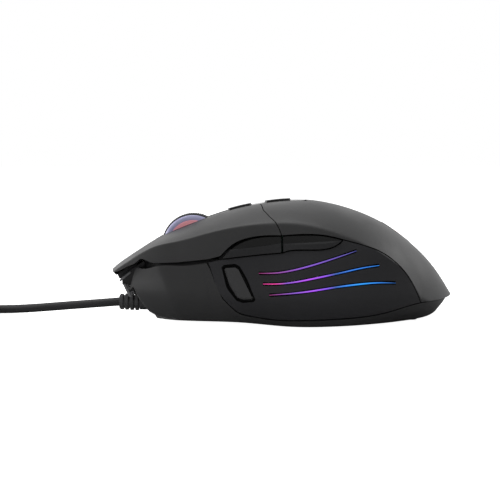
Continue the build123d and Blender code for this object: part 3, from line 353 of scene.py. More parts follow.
FRONT_MIDDLE = -57.5
FRONT_CORNER_BACK = 3.1
CHEEK_CUT = 0.3
CHEEK_CUT_MOST = 4.2
LIP = 0.25


def cheek_width(x, z, side):
    """Half-width of the base: ahead of the cheek line it narrows faster, as a flat bevel."""
    ahead = np.maximum(cheek_line(z) - x, 0)
    return half_width(x, z, side, BASE_SHORT) - np.minimum(CHEEK_CUT * ahead, CHEEK_CUT_MOST)


def front_at(y, z):
    """Where the front wall stands: bowed forwards in plan, and raked back below."""
    return FRONT_MIDDLE + FRONT_CORNER_BACK * (y / 24) ** 2 + front_slope(z)


def corner_at(z, side):
    """Where the front wall meets the side at each height, found by going to and fro."""
    x = np.full(np.shape(z), -52.0)
    for _ in range(12):
        x = front_at(cheek_width(x, z, side), z)
    return x


def base_ceiling(x):
    """Height of the base's upper edge along the side: the cheek's top, then down the front of the
    panel, along under it, and level under the palm cover."""
    drop = np.interp(x, [p[0] for p in PANEL_LOW[:4]], [p[1] for p in PANEL_LOW[:4]])
    under = np.where(x < 46.8, panel_low(np.clip(x, -19.4, 46.8)), BELLY_HEIGHT)
    return np.where(x < -27.0, cheek_top(np.clip(x, -62, -27.0)), np.where(x < -19.4, drop, under)) - LIP


def base_wall(side, along, up):
    """One side wall: along runs 0 to 1 from the front corner to the tail, up 0 to 1 from the sill
    to the upper edge."""
    along, up = np.meshgrid(along, up, indexing="ij")
    tail = HALF_LENGTH + TAIL_ROUND - BASE_SHORT
    z = np.full(along.shape, 8.0)
    for _ in range(10):
        front = corner_at(z, -1)
        x = front + (tail - tuck(z) - front) * (0.55 * along + 0.45 * np.sin(along * np.pi / 2))
        floor = sill(np.clip(x, -50, 62))
        z = floor + (base_ceiling(x) - floor) * up
    y = cheek_width(x, z, side)
    y[-1, :] = 0.0
    return np.stack([x, side * y, z], -1)


BASE_ALONG = np.concatenate([np.linspace(0, 0.35, 60), np.linspace(0.35, 0.8, 60)[1:], np.linspace(0.8, 1, 40)[1:]])
BASE_UP = np.array([0, 0.04, 0.12, 0.25, 0.4, 0.55, 0.7, 0.82, 0.92, 1.0])
TO_MIDDLE = np.array([1, 0.97, 0.92, 0.85, 0.77, 0.68, 0.58, 0.47, 0.36, 0.24, 0.12, 0])
ACROSS = np.concatenate([-TO_MIDDLE, TO_MIDDLE[-2::-1]])
thumb_wall = base_wall(-1, BASE_ALONG, BASE_UP)
grip_wall = base_wall(1, BASE_ALONG, BASE_UP)


def span(edge_a, edge_b):
    """A sheet of points straight across from one edge to the other, at the places in ACROSS."""
    share = (ACROSS[:, None, None] + 1) / 2
    return edge_a[None] * (1 - share) + edge_b[None] * share


front_wall = span(thumb_wall[0], grip_wall[0])
front_wall[1:-1, :, 0] = front_at(front_wall[1:-1, :, 1], front_wall[1:-1, :, 2])
floor = span(thumb_wall[:, 0], grip_wall[:, 0])
full = np.clip(-thumb_wall[:, 0, 1] / 26.0, 0, 1)[None, :] * (1 - np.abs(ACROSS[:, None]) ** 4)
floor[..., 2] -= (floor[..., 2] - FOOT_PROUD) * full
WINDOW_HALF = (5.6, 4.4)
middle = (floor[1:, 1:] + floor[:-1, :-1]) / 2
sensor_window = (np.abs(middle[..., 0]) < WINDOW_HALF[0]) & (np.abs(middle[..., 1]) < WINDOW_HALF[1])
chin = np.stack([front_wall[:, 0], floor[:, 0]], 1)
base_plastic = finish("base_plastic", (0.006, 0.006, 0.0065), (0.009, 0.009, 0.0095), 0.42, 0.52, depth=0.02,
                      Specular_IOR_Level=0.3)
mesh_piece("base", [thumb_wall, grip_wall[::-1], front_wall, (floor[::-1], 0, sensor_window[::-1]), chin[:, ::-1]],
           [base_plastic], "case", "base_plastic", "base_shell", thick=WALL, round_off=0.22, closed=True)


def bar(outline, y0, y1):
    """A solid bar: a side-view outline of (x, z) corners drawn out from y0 to y1, with both ends
    closed by fans to the outline's middle."""
    ring = np.array([*outline, outline[0]], float)
    hub = np.broadcast_to(np.mean(outline, axis=0), ring.shape)
    rows = [(hub, y0), (ring, y0), (ring, y1), (hub, y1)]
    return np.stack([np.stack([line[:, 0], np.full(len(ring), y), line[:, 1]], -1) for line, y in rows])


def box_frame(x, y, z, wide, deep, rim, tall):
    """A flat rectangular ring round a window, from four bars."""
    left, right = x - wide - rim, x + wide + rim
    return [bar(((left, z), (left, z + tall), (right, z + tall), (right, z)), a, b)
            for a, b in ((y - deep - rim, y - deep), (y + deep, y + deep + rim))] + [
            bar(((a, z), (a, z + tall), (b, z + tall), (b, z)), y - deep, y + deep)
            for a, b in ((left, x - wide), (x + wide, right))]


grille_grey = finish("grille_grey", (0.13, 0.13, 0.135), (0.10, 0.10, 0.105), 0.38, 0.5, Specular_IOR_Level=0.3)
deep_black = finish("deep_black", (0.006, 0.006, 0.007), (0.009, 0.009, 0.010), 0.3, 0.4, Specular_IOR_Level=0.2)
mesh_piece("sensor_rim", box_frame(0, 0, 0.5, 4.6, 3.4, 2.0, 0.5), [deep_black], "case", "gloss_black",
           round_off=0.1, smooth=False, closed=True)
mesh_piece("bumper", [bar(((-59.6, 14.4), (-56.4, 14.2), (-49.2, 8.6), (-54.6, 8.6)), -9.0, 9.0)],
           [base_plastic], "case", "base_plastic", "front_bumper", round_off=0.3, smooth=False, closed=True)
NOSE_BLOCK = ((-58.0, 13.8), (-58.0, 17.0), (-51.5, 21.6), (-50.0, 22.6), (-46.5, 23.4), (-46.5, 13.8))
mesh_piece("nose_block", [bar(NOSE_BLOCK, -19.0, -4.6), bar(NOSE_BLOCK, 4.6, 19.0)], [deep_black], "case",
           "inner_plastic", round_off=0.3, smooth=False, closed=True)
rim_x, rim_z = np.meshgrid(np.linspace(-50, -23, 28), np.linspace(16.5, 25.0, 6), indexing="ij")
for side, name in ((-1, "thumb"), (1, "grip")):
    rim_z = np.minimum(rim_z, top_height(rim_x, 20 + 0 * rim_x) - 3.0)
    rim = np.stack([rim_x, side * (cheek_width(rim_x, rim_z, side) - 4.8), rim_z], -1)
    mesh_piece(f"{name}_rim", [rim[::side]], [deep_black], "case", "inner_plastic", thick=0.8)
# The first two bars are thin grey strips along the lower edge of the nose lips: a painted highlight. The six slats
# below are the grille's own grey.
mesh_piece("grille", [bar(((-59.0, 15.5), (-55.0, 18.8), (-54.6, 18.2), (-58.6, 14.9)), a, b)
                      for a, b in ((-19.5, -15.6), (15.6, 19.5))]
           + [bar(((-57.6, 14.2), (-56.6, 14.2), (-54.4, 9.6), (-55.4, 9.6)), y, y + 1.2)
              for y in (-20.5, -16.0, -12.0, 10.8, 14.8, 19.3)],
           [grille_grey], "case", "grille_grey", "front_grille", round_off=0.15, smooth=False, closed=True)
foot_pad = finish("foot_pad", (0.10, 0.10, 0.10), (0.13, 0.13, 0.13), 0.35, 0.5, grain=1200.0, depth=0.006)
dress(foot_pad, "foot_front", "foot_rear")

# ---- The works inside: boards, switches, sensor, lamps, the frame that they sit in and screws.
inner_plastic = finish("inner_plastic", (0.030, 0.030, 0.033), (0.040, 0.040, 0.042), 0.5, 0.6)
circuit_green = finish("circuit_green", (0.012, 0.11, 0.055), (0.010, 0.085, 0.045), 0.32, 0.45, grain=900.0,
                       patches=240.0)
switch_black = finish("switch_black", (0.045, 0.045, 0.05), (0.06, 0.06, 0.065), 0.38, 0.5)
press_red = finish("press_red", (0.55, 0.055, 0.045), (0.45, 0.05, 0.04), 0.38, 0.5)
chip_black = finish("chip_black", (0.028, 0.028, 0.03), (0.036, 0.036, 0.038), 0.5, 0.62)
lamp_white = finish("lamp_white", (0.82, 0.80, 0.70), (0.74, 0.72, 0.62), 0.3, 0.4)
clear_lens = finish("clear_lens", (0.9, 0.93, 0.95), (0.85, 0.9, 0.92), 0.04, 0.10, depth=0.0,
                    Transmission_Weight=0.9, IOR=1.49)
dress(inner_plastic, "inner_frame", "wheel_carrier", "wheel_encoder")
dress(circuit_green, "main_board", "side_board", "dpi_board")
dress(switch_black, "left_click_switch", "right_click_switch", "wheel_click_switch", "side_switches", "dpi_switches")
dress(press_red, "left_switch_plunger", "right_switch_plunger", "wheel_switch_plunger", "forward_plunger",
      "back_plunger", "sniper_plunger", "dpi_up_plunger", "dpi_down_plunger")
dress(chip_black, "optical_sensor", "controller_chip")
dress(lamp_white, "wheel_led", "side_leds")
dress(clear_lens, "sensor_lens")
dress(bright_steel, "hinge_pins", "frame_screws", "case_screws", "board_screws", "side_board_screws")

# ---- The scroll wheel: a ribbed black tyre on a milky ring that the lamp shines into, with a
# rose-coloured dished hub on a plain axle, which has a painted glow. It turns in a cradle that rocks when it is
# pressed.
WHEEL_X, WHEEL_Z = -33.5, 26.7


def turned(profile, ribs=0, rib_depth=0.0, steps=144):
    """A turned piece about the wheel's axle: the (y, radius) profile carried round a circle. Where
    ribs are given, radii over the tread go in and out by rib_depth as a flattened wave."""
    profile = np.array(profile, float)
    angle = np.linspace(0, 2 * np.pi, steps + 1)[:, None]
    wave = np.clip(1.6 * np.cos(ribs * angle), -1, 1) * 0.5 - 0.5
    radius = profile[:, 1] + rib_depth * wave * (profile[:, 1] > 11.4)
    side = profile[:, 0] + 0 * angle
    grid = np.stack([WHEEL_X + radius * np.sin(angle), side, WHEEL_Z + radius * np.cos(angle)], -1)
    grid[-1] = grid[0]
    return grid


def both_sides(half):
    """A profile and its mirror image, end to end."""
    return [*half, *[(-y, r) for y, r in half[::-1]]]


tyre = both_sides([(-3.0, 10.6), (-3.4, 11.1), (-3.4, 11.42), (-2.9, 11.72), (-1.4, 11.8)])
ring = both_sides([(-3.0, 9.1), (-3.55, 9.35), (-3.8, 9.6), (-3.8, 10.8), (-3.7, 11.0), (-3.3, 11.15), (-3.0, 10.7)])
hub = [(-7.4, 0), (-7.4, 1.4), (-7.2, 1.5), (-2.9, 1.5), (-2.7, 2.4), (-2.5, 5.5), (-3.1, 8.0), (-3.4, 8.9),
       (-3.3, 9.34), (3.3, 9.34), (3.4, 8.9), (3.1, 8.0), (2.5, 5.5), (2.7, 2.4), (2.9, 1.5), (10.0, 1.5),
       (10.2, 1.4), (10.2, 0)]
tread_rubber = finish("tread_rubber", (0.010, 0.010, 0.011), (0.016, 0.016, 0.017), 0.45, 0.6, grain=2600.0,
                      depth=0.02, Specular_IOR_Level=0.25)
milky_ring = finish("milky_ring", (0.46, 0.45, 0.62), (0.38, 0.37, 0.53), 0.16, 0.26, depth=0.004,
                    Specular_IOR_Level=0.35, Emission_Color=(0.35, 0.36, 0.55, 1), Emission_Strength=0.3)
# The hub's emission is a painted glow that brightens its pink.
rose_hub_painted_glow = finish("rose_hub_painted_glow", (0.92, 0.46, 0.50), (0.82, 0.38, 0.42), 0.3, 0.42, depth=0.004,
                  Emission_Color=(0.8, 0.32, 0.36, 1), Emission_Strength=0.35)
mesh_piece("tyre", [turned([*tyre, tyre[0]], 84, 0.16, 504)[:, ::-1]], [tread_rubber], "wheel", "rubber",
           "wheel_tyre", closed=True)
mesh_piece("lit_ring", [turned([*ring, ring[0]])[:, ::-1]], [milky_ring], "wheel", "clear_ring",
           "wheel_light_ring", closed=True)
mesh_piece("hub", [turned(hub)[:, ::-1]], [rose_hub_painted_glow], "wheel", "pink_hub", "wheel_hub", closed=True)

# ---- The glossy spine between the main buttons, with the two buttons that change the speed.
def eased(name, width):
    """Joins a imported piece's triangles and breaks its edges, so that they catch the light."""
    joined = nodes[name].modifiers.new("joined", "WELD")
    joined.merge_threshold = 0.00002
    edge = nodes[name].modifiers.new("edge", "BEVEL")
    edge.width = width * MM
    edge.segments = 2
    edge.limit_method = "ANGLE"
    edge.angle_limit = math.radians(50)
    edge.harden_normals = True


gloss_black = finish("gloss_black", (0.006, 0.006, 0.007), (0.009, 0.009, 0.010), 0.09, 0.16, depth=0.002,
                     Specular_IOR_Level=0.4)
dress(gloss_black, "centre_spine", "dpi_button_up", "dpi_button_down")
for name in ("dpi_button_up", "dpi_button_down"):
    eased(name, 0.25)

# ---- The two main buttons: long soft-feel covers, light on top and dark down their flanks, with
# a crisp ridge that fades towards the hand. They hinge under the palm cover and click at the nose.
BUTTON_SEAM = ((-1.5, 32.1), (-2.3, 34.2), (-3.4, 36.4), (-5.7, 38.4), (-7.7, 40.3), (-9.1, 42.6))
BUTTON_FROM = 6.0
NOSE_BOW = 1.9
GAP = 0.2
softness = flowing(((-66, 0.35), (-40, 0.45), (-22, 0.6), (-10, 1.1), (0, 2.2), (12, 4.0),
                    (30, 6.0), (50, 5.0), (64, 1.5)))
WEIGHTS = np.array([1, 2, 3, 4, 4, 4, 3, 2, 1]) / 24
OFFSETS = np.linspace(-1, 1, 9)


def ridge_at(x, side):
    """Where the top meets the side wall: half-width and height, found by going to and fro."""
    z = crown(x) - 0.6 * fall(x)
    for _ in range(24):
        z = 0.5 * z + 0.5 * top_height(x, side * half_width(x, z, side))
    return half_width(x, z, side), z


def sharp_body(x, s):
    """The body's skin by its length x and the distance s across it from the middle: along the top
    as far as the ridge, then straight down the wall."""
    side = np.where(s < 0, -1, 1)
    reach, crest = ridge_at(x, side)
    over = np.abs(s) - reach
    z = np.where(over < 0, top_height(x, side * np.minimum(np.abs(s), reach)), crest - over)
    y = np.where(over < 0, np.abs(s), half_width(x, z, side))
    return np.stack([x + 0 * s, side * y, z], -1)


def body(x, s, ease=1.0, sink=0.0):
    """The skin with its ridge rounded: each point is the weighted middle of its neighbours across.
    ease fades the rounding out, and sink moves the skin in."""
    spread = softness(x) * ease
    point = sum(w * sharp_body(x, s + spread * o) for w, o in zip(WEIGHTS, OFFSETS))
    point[..., 0] = x
    point[..., 1] -= np.sign(s) * sink
    return point


def across_at(x, z, side):
    """The distance across the skin at which it has this height."""
    reach, crest = ridge_at(x, side)
    edge = np.maximum(half_width(np.minimum(x, HALF_LENGTH), BELLY_HEIGHT, side), 1.0)
    drop = fall(x) * np.where(side > 0, GRIP_SIDE_FALL, 1.0)
    on_top = edge * (np.maximum(crown(x) - z, 0) / drop) ** (1 / FALL_POWER)
    return np.where(z < crest, reach + crest - z, np.minimum(on_top, reach))


def seam_line(side, shift):
    """x of the seam behind the button as a function of the distance across, moved by shift."""
    x, z = np.array(BUTTON_SEAM, float).T
    s = across_at(x, z, np.full(len(x), side))
    order = np.argsort(s)
    return lambda a: np.interp(a, s[order], x[order]) + shift


FLANK_LOW = ((-62, 18.6), (-59.1, 19.0), (-56.0, 20.6), (-52.8, 22.0), (-50.7, 23.8), (-49.6, 23.6), (-46.8, 22.5),
             (-45.5, 22.4), (-37.8, 22.8), (-27.0, 24.0), (-22.7, 25.1))
OVER_THUMB = ((-22.7, 25.1), (-19.4, 28.4), (-13.1, 31.35), (-8.2, 32.15), (-1.5, 32.3))
over_thumb = flowing(OVER_THUMB)


def button_low(x):
    """Height of a main button's lower edge along its length."""
    low = np.interp(x, [p[0] for p in FLANK_LOW], [p[1] for p in FLANK_LOW])
    return np.where(x < -22.7, low, over_thumb(np.clip(x, -22.7, -1.5)))


def button_sheet(side):
    """A main button's skin: rows from the nose to the seam, columns from the spine over the ridge
    to the lower edge, drawn closer at the ridge."""
    seam = seam_line(side, -GAP)
    along = np.concatenate([np.linspace(0, 0.1, 10), np.linspace(0.1, 0.9, 70)[1:], np.linspace(0.9, 1, 14)[1:]])
    low_x = -60.6 + (-1.5 - GAP + 60.6) * along
    top_share = np.linspace(0, 1, 16)
    low_share = np.linspace(0, 1, 12)
    ridge_steps = np.array([-1.0, -0.6, -0.3, 0, 0.3, 0.6, 1.0])
    x = np.repeat(low_x[:, None], 16 + 12 + 7, axis=1)
    for _ in range(4):
        reach, crest = ridge_at(x, side)
        low_z = np.minimum(button_low(low_x), crest[:, -1] - 0.3)
        bottom = across_at(low_x, low_z, np.full(len(low_x), side))[:, None]
        room = np.minimum(1.0, (bottom - reach) / 2.5)
        s = np.concatenate([BUTTON_FROM + (reach[:, :16] - room[:, :16] - BUTTON_FROM) * top_share,
                            reach[:, 16:23] + room[:, 16:23] * ridge_steps * 0.8,
                            reach[:, 23:] + room[:, 23:] + (bottom - reach[:, 23:] - room[:, 23:]) * low_share], 1)
        nose = -62.0 + NOSE_BOW * (s / 20) ** 2 - (-62.0 + NOSE_BOW * (bottom / 20) ** 2)
        rear = seam(s) - seam(bottom)
        x = low_x[:, None] + nose * (1 - along[:, None]) ** 4 + rear * along[:, None] ** 5
    return body(x, side * s, ease=0.9)


soft_black = finish("soft_black", (0.006, 0.006, 0.0063), (0.009, 0.009, 0.0095), 0.38, 0.47, depth=0.018,
                    Specular_IOR_Level=0.32)
NOSE_LIP = ((-60.6, 17.9), (-59.6, 15.6), (-58.6, 15.4), (-55.6, 17.6), (-52.6, 20.6), (-53.0, 21.8), (-56.4, 20.0))
for side, name in ((-1, "left"), (1, "right")):
    sheet = button_sheet(side)
    mesh_piece(f"{name}_button", [sheet if side > 0 else sheet[::-1]], [soft_black], f"{name}_button", "soft_black",
               f"{name}_main_button", thick=1.7, round_off=0.22)
    mesh_piece(f"{name}_nose_lip", [bar(NOSE_LIP, *sorted((side * 6.4, side * 15.0)))], [deep_black],
               f"{name}_button", "gloss_black", round_off=0.3, smooth=False, closed=True)

# ---- The palm cover: one soft-feel shell from the seam behind the main buttons to the tail. Its
# ridge melts away towards the hand's heel, where a small red window glows.
PANEL_REAR = ((19.4, 31.0), (27.1, 28.9), (32.7, 26.6), (37.6, 23.1), (40.9, 19.7), (43.6, 15.7), (46.8, 8.8))
REAR_TOP = ((-1.5, 32.1), (8.0, 32.7), (14.8, 32.1), (19.4, 31.0))
rear_top = flowing(REAR_TOP)
panel_rear = flowing(PANEL_REAR)
PALM_FOOT = 9.05
BAY_HALF, BAY_END = 6.0, 8.4
WINDOW_AT, WINDOW_LONG, WINDOW_WIDE = 42.0, 4.6, 6.0


def palm_low(x):
    """Height of the palm cover's lower edge: over the thumb button, down behind the side panel,
    then level above the base, a seam's width away."""
    line = np.where(x < 19.4, rear_top(np.clip(x, -1.5, 19.4)), panel_rear(np.clip(x, 19.4, 46.8)))
    ahead = np.where(x < 19.4, rear_top(np.clip(x + 0.1, -1.5, 19.4)), panel_rear(np.clip(x + 0.1, 19.4, 46.8)))
    slope = (ahead - line) / 0.1
    return np.maximum(np.where(x < 46.8, line + GAP * np.sqrt(1 + slope ** 2), PALM_FOOT), PALM_FOOT)


def palm_sheet():
    """Rows from the seam to the tail, drawn closer towards the tail's round end, and columns from
    the thumb side's lower edge over the top to the other side's."""
    along = np.concatenate([np.linspace(0, 0.12, 12), np.linspace(0.12, 0.8, 80)[1:], np.linspace(0.8, 1, 50)[1:]])
    low_x = -1.5 + GAP + (HALF_LENGTH + 1.5 - GAP) * np.sin(along * np.pi / 2)
    across = np.linspace(-1, 1, 97)
    across = np.sign(across) * (1 - (1 - np.abs(across)) ** 1.15)
    side = np.where(across < 0, -1, 1)
    bottom = np.stack([across_at(low_x, palm_low(low_x), np.full(len(low_x), way)) for way in (-1, 1)], 1)
    s = across[None, :] * np.where(side[None, :] < 0, bottom[:, :1], bottom[:, 1:])
    thumb_seam, grip_seam = seam_line(-1, GAP), seam_line(1, GAP)
    front = np.where(side[None, :] < 0, thumb_seam(np.abs(s)), grip_seam(np.abs(s))) - (-1.5 + GAP)
    x = low_x[:, None] + front * (1 - along[:, None]) ** 10
    x = np.minimum(x, HALF_LENGTH)
    return body(x, s, ease=1 - np.abs(across[None, :]) ** 6)


palm = palm_sheet()
middle = (palm[1:, 1:] + palm[:-1, :-1]) / 2
spine_bay = (np.abs(middle[..., 1]) < BAY_HALF) & (middle[..., 0] < BAY_END)
window = ((middle[..., 0] - WINDOW_AT) / WINDOW_LONG) ** 2 + (middle[..., 1] / WINDOW_WIDE) ** 2 < 1
mesh_piece("palm", [(palm, 0, spine_bay | window)], [soft_black], "case",
           "soft_black", "palm_cover", thick=1.7, round_off=0.22)


def ring_on_body(outline, proud, width, rows=5):
    """A rounded band round an opening in the top, lying on the skin: outline gives (x, s) round it."""
    around = np.vstack([outline, outline[:1]])
    centre = outline.mean(axis=0)
    turn = np.linspace(0, np.pi, rows)
    grids = []
    for angle in turn:
        grow = 1 + width * (0.5 - 0.5 * np.cos(angle)) / np.linalg.norm(around - centre, axis=1, keepdims=True)
        place = centre + (around - centre) * grow
        point = body(place[:, 0], place[:, 1])
        point[:, 2] += proud * np.sin(angle) - 0.02
        grids.append(point)
    return np.stack(grids)


turn = np.linspace(0, 2 * np.pi, 72, endpoint=False)
window_edge = np.stack([WINDOW_AT + (WINDOW_LONG - 0.1) * np.cos(turn), (WINDOW_WIDE - 0.1) * np.sin(turn)], 1)
mesh_piece("window_bezel", [ring_on_body(window_edge, 0.22, 0.9)], [gloss_black], "case", "gloss_black")

# ---- The side panels and the thumb's buttons: satin plastic set into the base, with painted shade on the buttons' upper facets. A dark wall
# behind each panel's rear seam keeps light from passing, and a near-black ring of painted shade stands for the gap
# round the front button.
PANEL_BACK = 3.2
for side, name in ((-1, "thumb"), (1, "grip")):
    x, z = np.meshgrid(np.linspace(23, 45.5, 40), np.linspace(7.0, 30.0, 30), indexing="ij")
    z = np.minimum(z, panel_rear(np.clip(x, 19.4, 46.8)) + 1.2)
    wall = np.stack([x, side * (half_width(x, z, side) - PANEL_BACK), z], -1)
    mesh_piece(f"{name}_seam_wall", [wall[::side]], [deep_black], "case", "inner_plastic", thick=0.6)
panel_black = finish("panel_black", (0.006, 0.006, 0.0075), (0.008, 0.008, 0.0095), 0.4, 0.5, depth=0.018,
                     Specular_IOR_Level=0.24)
dress(panel_black, "side_panel_thumb", "side_panel_grip")


def satin_and_painted_shade(name, start, end):
    """The satin finish for a thumb button: satin below the crease that runs from start to end in
    the side view, and painted shade above it, where the colour turns near black so that the upper facet looks dark."""
    made = finish(name, (0.020, 0.020, 0.021), (0.024, 0.024, 0.025), 0.22, 0.3, depth=0.006, Specular_IOR_Level=0.06)
    tree = made.node_tree
    join = tree.links.new
    shader = tree.nodes["Principled BSDF"]
    slope = (end[1] - start[1]) / (end[0] - start[0])
    place = tree.nodes.new("ShaderNodeTexCoord")
    height = tree.nodes.new("ShaderNodeVectorMath")
    height.operation = "DOT_PRODUCT"
    height.inputs[1].default_value = (-slope, 0, 1)
    above = tree.nodes.new("ShaderNodeMapRange")
    above.inputs["From Min"].default_value = (start[1] - slope * start[0]) * MM
    above.inputs["From Max"].default_value = (start[1] - slope * start[0] + 0.15) * MM
    shade = tree.nodes.new("ShaderNodeMix")
    shade.data_type = "RGBA"
    # Painted shade: above the crease the base colour is mixed to near black.
    shade.inputs[7].default_value = (0.0015, 0.0015, 0.0015, 1)
    join(shader.inputs["Base Color"].links[0].from_socket, shade.inputs[6])
    join(place.outputs["Object"], height.inputs[0])
    join(height.outputs["Value"], above.inputs["Value"])
    join(above.outputs["Result"], shade.inputs["Factor"])
    join(shade.outputs[2], shader.inputs["Base Color"])
    return made


dress(satin_and_painted_shade("forward_satin_painted_shade", (-18.3, 27.3), (-2.4, 29.4)), "side_button_forward")
dress(satin_and_painted_shade("back_satin_painted_shade", (-1.0, 29.4), (18.0, 30.6)), "side_button_back")
dress(gloss_black, "sniper_button")
eased("sniper_button", 0.6)
# Painted shade: a near-black ring that hardly reflects lies round the sniper button where the gap round it is in
# shade.
painted_gap_shade = finish("painted_gap_shade", (0.001, 0.001, 0.001), (0.002, 0.002, 0.002), 0.7, 0.8, Specular_IOR_Level=0.02)
SNIPER_HOLE = ((-21.6, 20.6), (-20.9, 21.4), (-17.4, 21.6), (-16.1, 20.8), (-11.2, 11.0), (-11.8, 10.3),
               (-15.1, 10.1), (-17.0, 10.9), (-19.7, 14.9))
SHADE_RING_WIDE, SHADE_RING_PROUD = 0.9, 0.25
hole = np.array([*SNIPER_HOLE, SNIPER_HOLE[0]], float)
steps = np.concatenate([np.linspace(a, b, 8, endpoint=False) for a, b in zip(hole[:-1], hole[1:])] + [hole[:1]])
middle = np.mean(SNIPER_HOLE, axis=0)
rows = []
for turn in np.linspace(0, np.pi, 7):
    out = steps - middle
    place = steps + out / np.linalg.norm(out, axis=1, keepdims=True) * SHADE_RING_WIDE * (0.5 - 0.5 * math.cos(turn))
    proud = SHADE_RING_PROUD * math.sin(turn) - 0.05
    rows.append(np.stack([place[:, 0], -half_width(place[:, 0], place[:, 1], -1) - proud, place[:, 1]], -1))
mesh_piece("sniper_gap_shade", [np.stack(rows)], [painted_gap_shade], "case", "gloss_black")

# ---- The light lines in the thumb side: three thin clear ribbons that lie a hair proud of the
# panel and taper at both ends, each glowing from rose to blue, and the red window in the palm.
def glowing(name, stops, low, high, strength):
    """A lit clear plastic: its glow runs through the stops from x = low to x = high, in
    millimetres."""
    made = bpy.data.materials.new(name)
    made.use_nodes = True
    tree = made.node_tree
    shader = tree.nodes["Principled BSDF"]
    shader.inputs["Base Color"].default_value = (0.02, 0.02, 0.025, 1)
    shader.inputs["Roughness"].default_value = 0.2
    shader.inputs["Emission Strength"].default_value = strength
    place = tree.nodes.new("ShaderNodeTexCoord")
    split = tree.nodes.new("ShaderNodeSeparateXYZ")
    along = tree.nodes.new("ShaderNodeMapRange")
    along.inputs["From Min"].default_value = low * MM
    along.inputs["From Max"].default_value = high * MM
    ramp = tree.nodes.new("ShaderNodeValToRGB")
    while len(ramp.color_ramp.elements) < len(stops):
        ramp.color_ramp.elements.new(0.5)
    for held, (spot, colour) in zip(ramp.color_ramp.elements, stops):
        held.position = spot
        held.color = (*colour, 1)
    join = tree.links.new
    join(place.outputs["Object"], split.inputs["Vector"])
    join(split.outputs["X"], along.inputs["Value"])
    join(along.outputs["Result"], ramp.inputs["Fac"])
    join(ramp.outputs["Color"], shader.inputs["Emission Color"])
    return made


ROSE, PINK, MAGENTA = (0.28, 0.02, 0.14), (0.9, 0.03, 0.34), (0.5, 0.06, 0.95)
VIOLET, BLUE, DEEP_BLUE = (0.22, 0.07, 0.6), (0.0, 0.22, 0.85), (0.01, 0.08, 0.4)
LIGHT_LINES = (
    ("high", ((-9.4, 19.4), (-3.3, 19.6), (3.2, 20.8), (9.6, 22.6), (17.9, 25.3), (23.8, 27.3)),
     ((0.0, ROSE), (0.5, VIOLET), (1.0, (0.05, 0.06, 0.3)))),
    ("middle", ((-7.9, 15.8), (-1.7, 16.0), (9.7, 18.0), (19.6, 20.2), (26.1, 21.6), (31.6, 22.3)),
     ((0.0, PINK), (0.1, PINK), (0.2, VIOLET), (0.38, MAGENTA), (0.52, (0.3, 0.06, 0.85)), (0.62, DEEP_BLUE),
      (0.75, (0.0, 0.16, 0.72)), (1.0, (0.0, 0.2, 0.75)))),
    ("low", ((-5.8, 12.1), (6.4, 13.4), (17.9, 15.3), (24.4, 16.1), (30.9, 16.5), (37.4, 16.2)),
     ((0.0, ROSE), (0.2, VIOLET), (0.34, (0.42, 0.06, 0.95)), (0.45, (0.2, 0.06, 0.8)), (0.52, DEEP_BLUE),
      (0.6, BLUE), (0.72, (0.0, 0.34, 1.0)), (0.85, BLUE), (1.0, (0.01, 0.07, 0.25)))))
LINE_HALF = 0.27
LINE_PROUD = 0.12
for count, (name, points, stops) in enumerate(LIGHT_LINES):
    line = flowing(points)
    low, high = points[0][0], points[-1][0]
    x = np.linspace(low, high, 80)[:, None] + np.zeros(3)
    taper = LINE_HALF * (0.25 + 0.75 * np.sin(np.linspace(0, np.pi, 80)) ** 0.6)
    z = line(x) + taper[:, None] * np.array([-1.0, 0.0, 1.0])
    proud = LINE_PROUD + 0.08 * np.array([0.0, 1.0, 0.0])
    ribbon = np.stack([x, -half_width(x, z, -1) - proud, z], -1)
    glow = glowing(f"{name}_line_glow", stops, low, high, 1.0)
    packed = ("side_light_guide",) if count == 0 else ()
    mesh_piece(f"{name}_light_line", [ribbon], [glow], "case", "light_guide", *packed, thick=0.3)
window_glow = glowing("window_glow", ((0.0, (0.8, 0.02, 0.03)), (1.0, (0.75, 0.02, 0.05))), 37.4, 46.6, 0.6)
dress(window_glow, "palm_light_window")

# ---- The table and the light: a pale table, a white surround and soft lamps.
FLOOR_HALF = 12.0

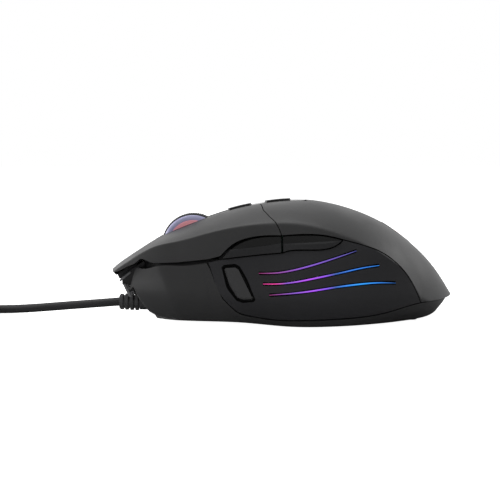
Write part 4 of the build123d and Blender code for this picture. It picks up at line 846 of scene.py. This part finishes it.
table = bpy.data.meshes.new("table")
table.from_pydata([(-FLOOR_HALF, -FLOOR_HALF, 0), (FLOOR_HALF, -FLOOR_HALF, 0), (FLOOR_HALF, FLOOR_HALF, 0),
                   (-FLOOR_HALF, FLOOR_HALF, 0)], [], [(0, 1, 2, 3)])
floor = bpy.data.objects.new("table", table)
bpy.context.collection.objects.link(floor)
pale = bpy.data.materials.new("pale_table")
pale.use_nodes = True
tree = pale.node_tree
shader = tree.nodes["Principled BSDF"]
shader.inputs["Base Color"].default_value = (0.86, 0.86, 0.86, 1)
shader.inputs["Roughness"].default_value = 0.9
shader.inputs["Specular IOR Level"].default_value = 0.0
paths = tree.nodes.new("ShaderNodeLightPath")
seen = tree.nodes.new("ShaderNodeMath")
seen.operation = "MULTIPLY"
seen.inputs[1].default_value = 1.0
tree.links.new(paths.outputs["Is Camera Ray"], seen.inputs[0])
tree.links.new(seen.outputs["Value"], shader.inputs["Emission Strength"])
shader.inputs["Emission Color"].default_value = (1, 1, 1, 1)
floor.data.materials.append(pale)

world = bpy.data.worlds.new("white_room")
bpy.context.scene.world = world
world.use_nodes = True
tree = world.node_tree
back = tree.nodes["Background"]
paths = tree.nodes.new("ShaderNodeLightPath")
either = tree.nodes.new("ShaderNodeMath")
either.operation = "MAXIMUM"
either_too = tree.nodes.new("ShaderNodeMath")
either_too.operation = "MAXIMUM"
level = tree.nodes.new("ShaderNodeMapRange")
level.inputs["To Min"].default_value = 0.14
level.inputs["To Max"].default_value = 1.0
tree.links.new(paths.outputs["Is Camera Ray"], either.inputs[0])
tree.links.new(paths.outputs["Is Glossy Ray"], either.inputs[1])
tree.links.new(either.outputs["Value"], either_too.inputs[0])
tree.links.new(paths.outputs["Is Transmission Ray"], either_too.inputs[1])
tree.links.new(either_too.outputs["Value"], level.inputs["Value"])
tree.links.new(level.outputs["Result"], back.inputs["Strength"])
back.inputs["Color"].default_value = (1, 1, 1, 1)


def lamp(name, at, aim, size, watts):
    """A square soft lamp at a place, turned to face aim, in metres."""
    light = bpy.data.lights.new(name, "AREA")
    light.shape = "SQUARE"
    light.size = size
    light.energy = watts
    made = bpy.data.objects.new(name, light)
    made.location = at
    turn = np.array(aim, float) - np.array(at, float)
    made.rotation_euler = (math.atan2(math.hypot(turn[0], turn[1]), -turn[2]), 0,
                           math.atan2(turn[1], turn[0]) - math.pi / 2)
    bpy.context.collection.objects.link(made)
    return made


lamp("top_lamp", (-0.2, 0.1, 1.0), (0, 0, 0), 0.8, 5)
lamp("tail_lamp", (0.7, 0.35, 0.55), (0, 0, 0.02), 0.5, 1.2)
lamp("front_lamp", (-0.95, -0.15, 0.4), (0, 0, 0.02), 0.5, 9)

scene = bpy.context.scene
scene.view_settings.view_transform = "Standard"
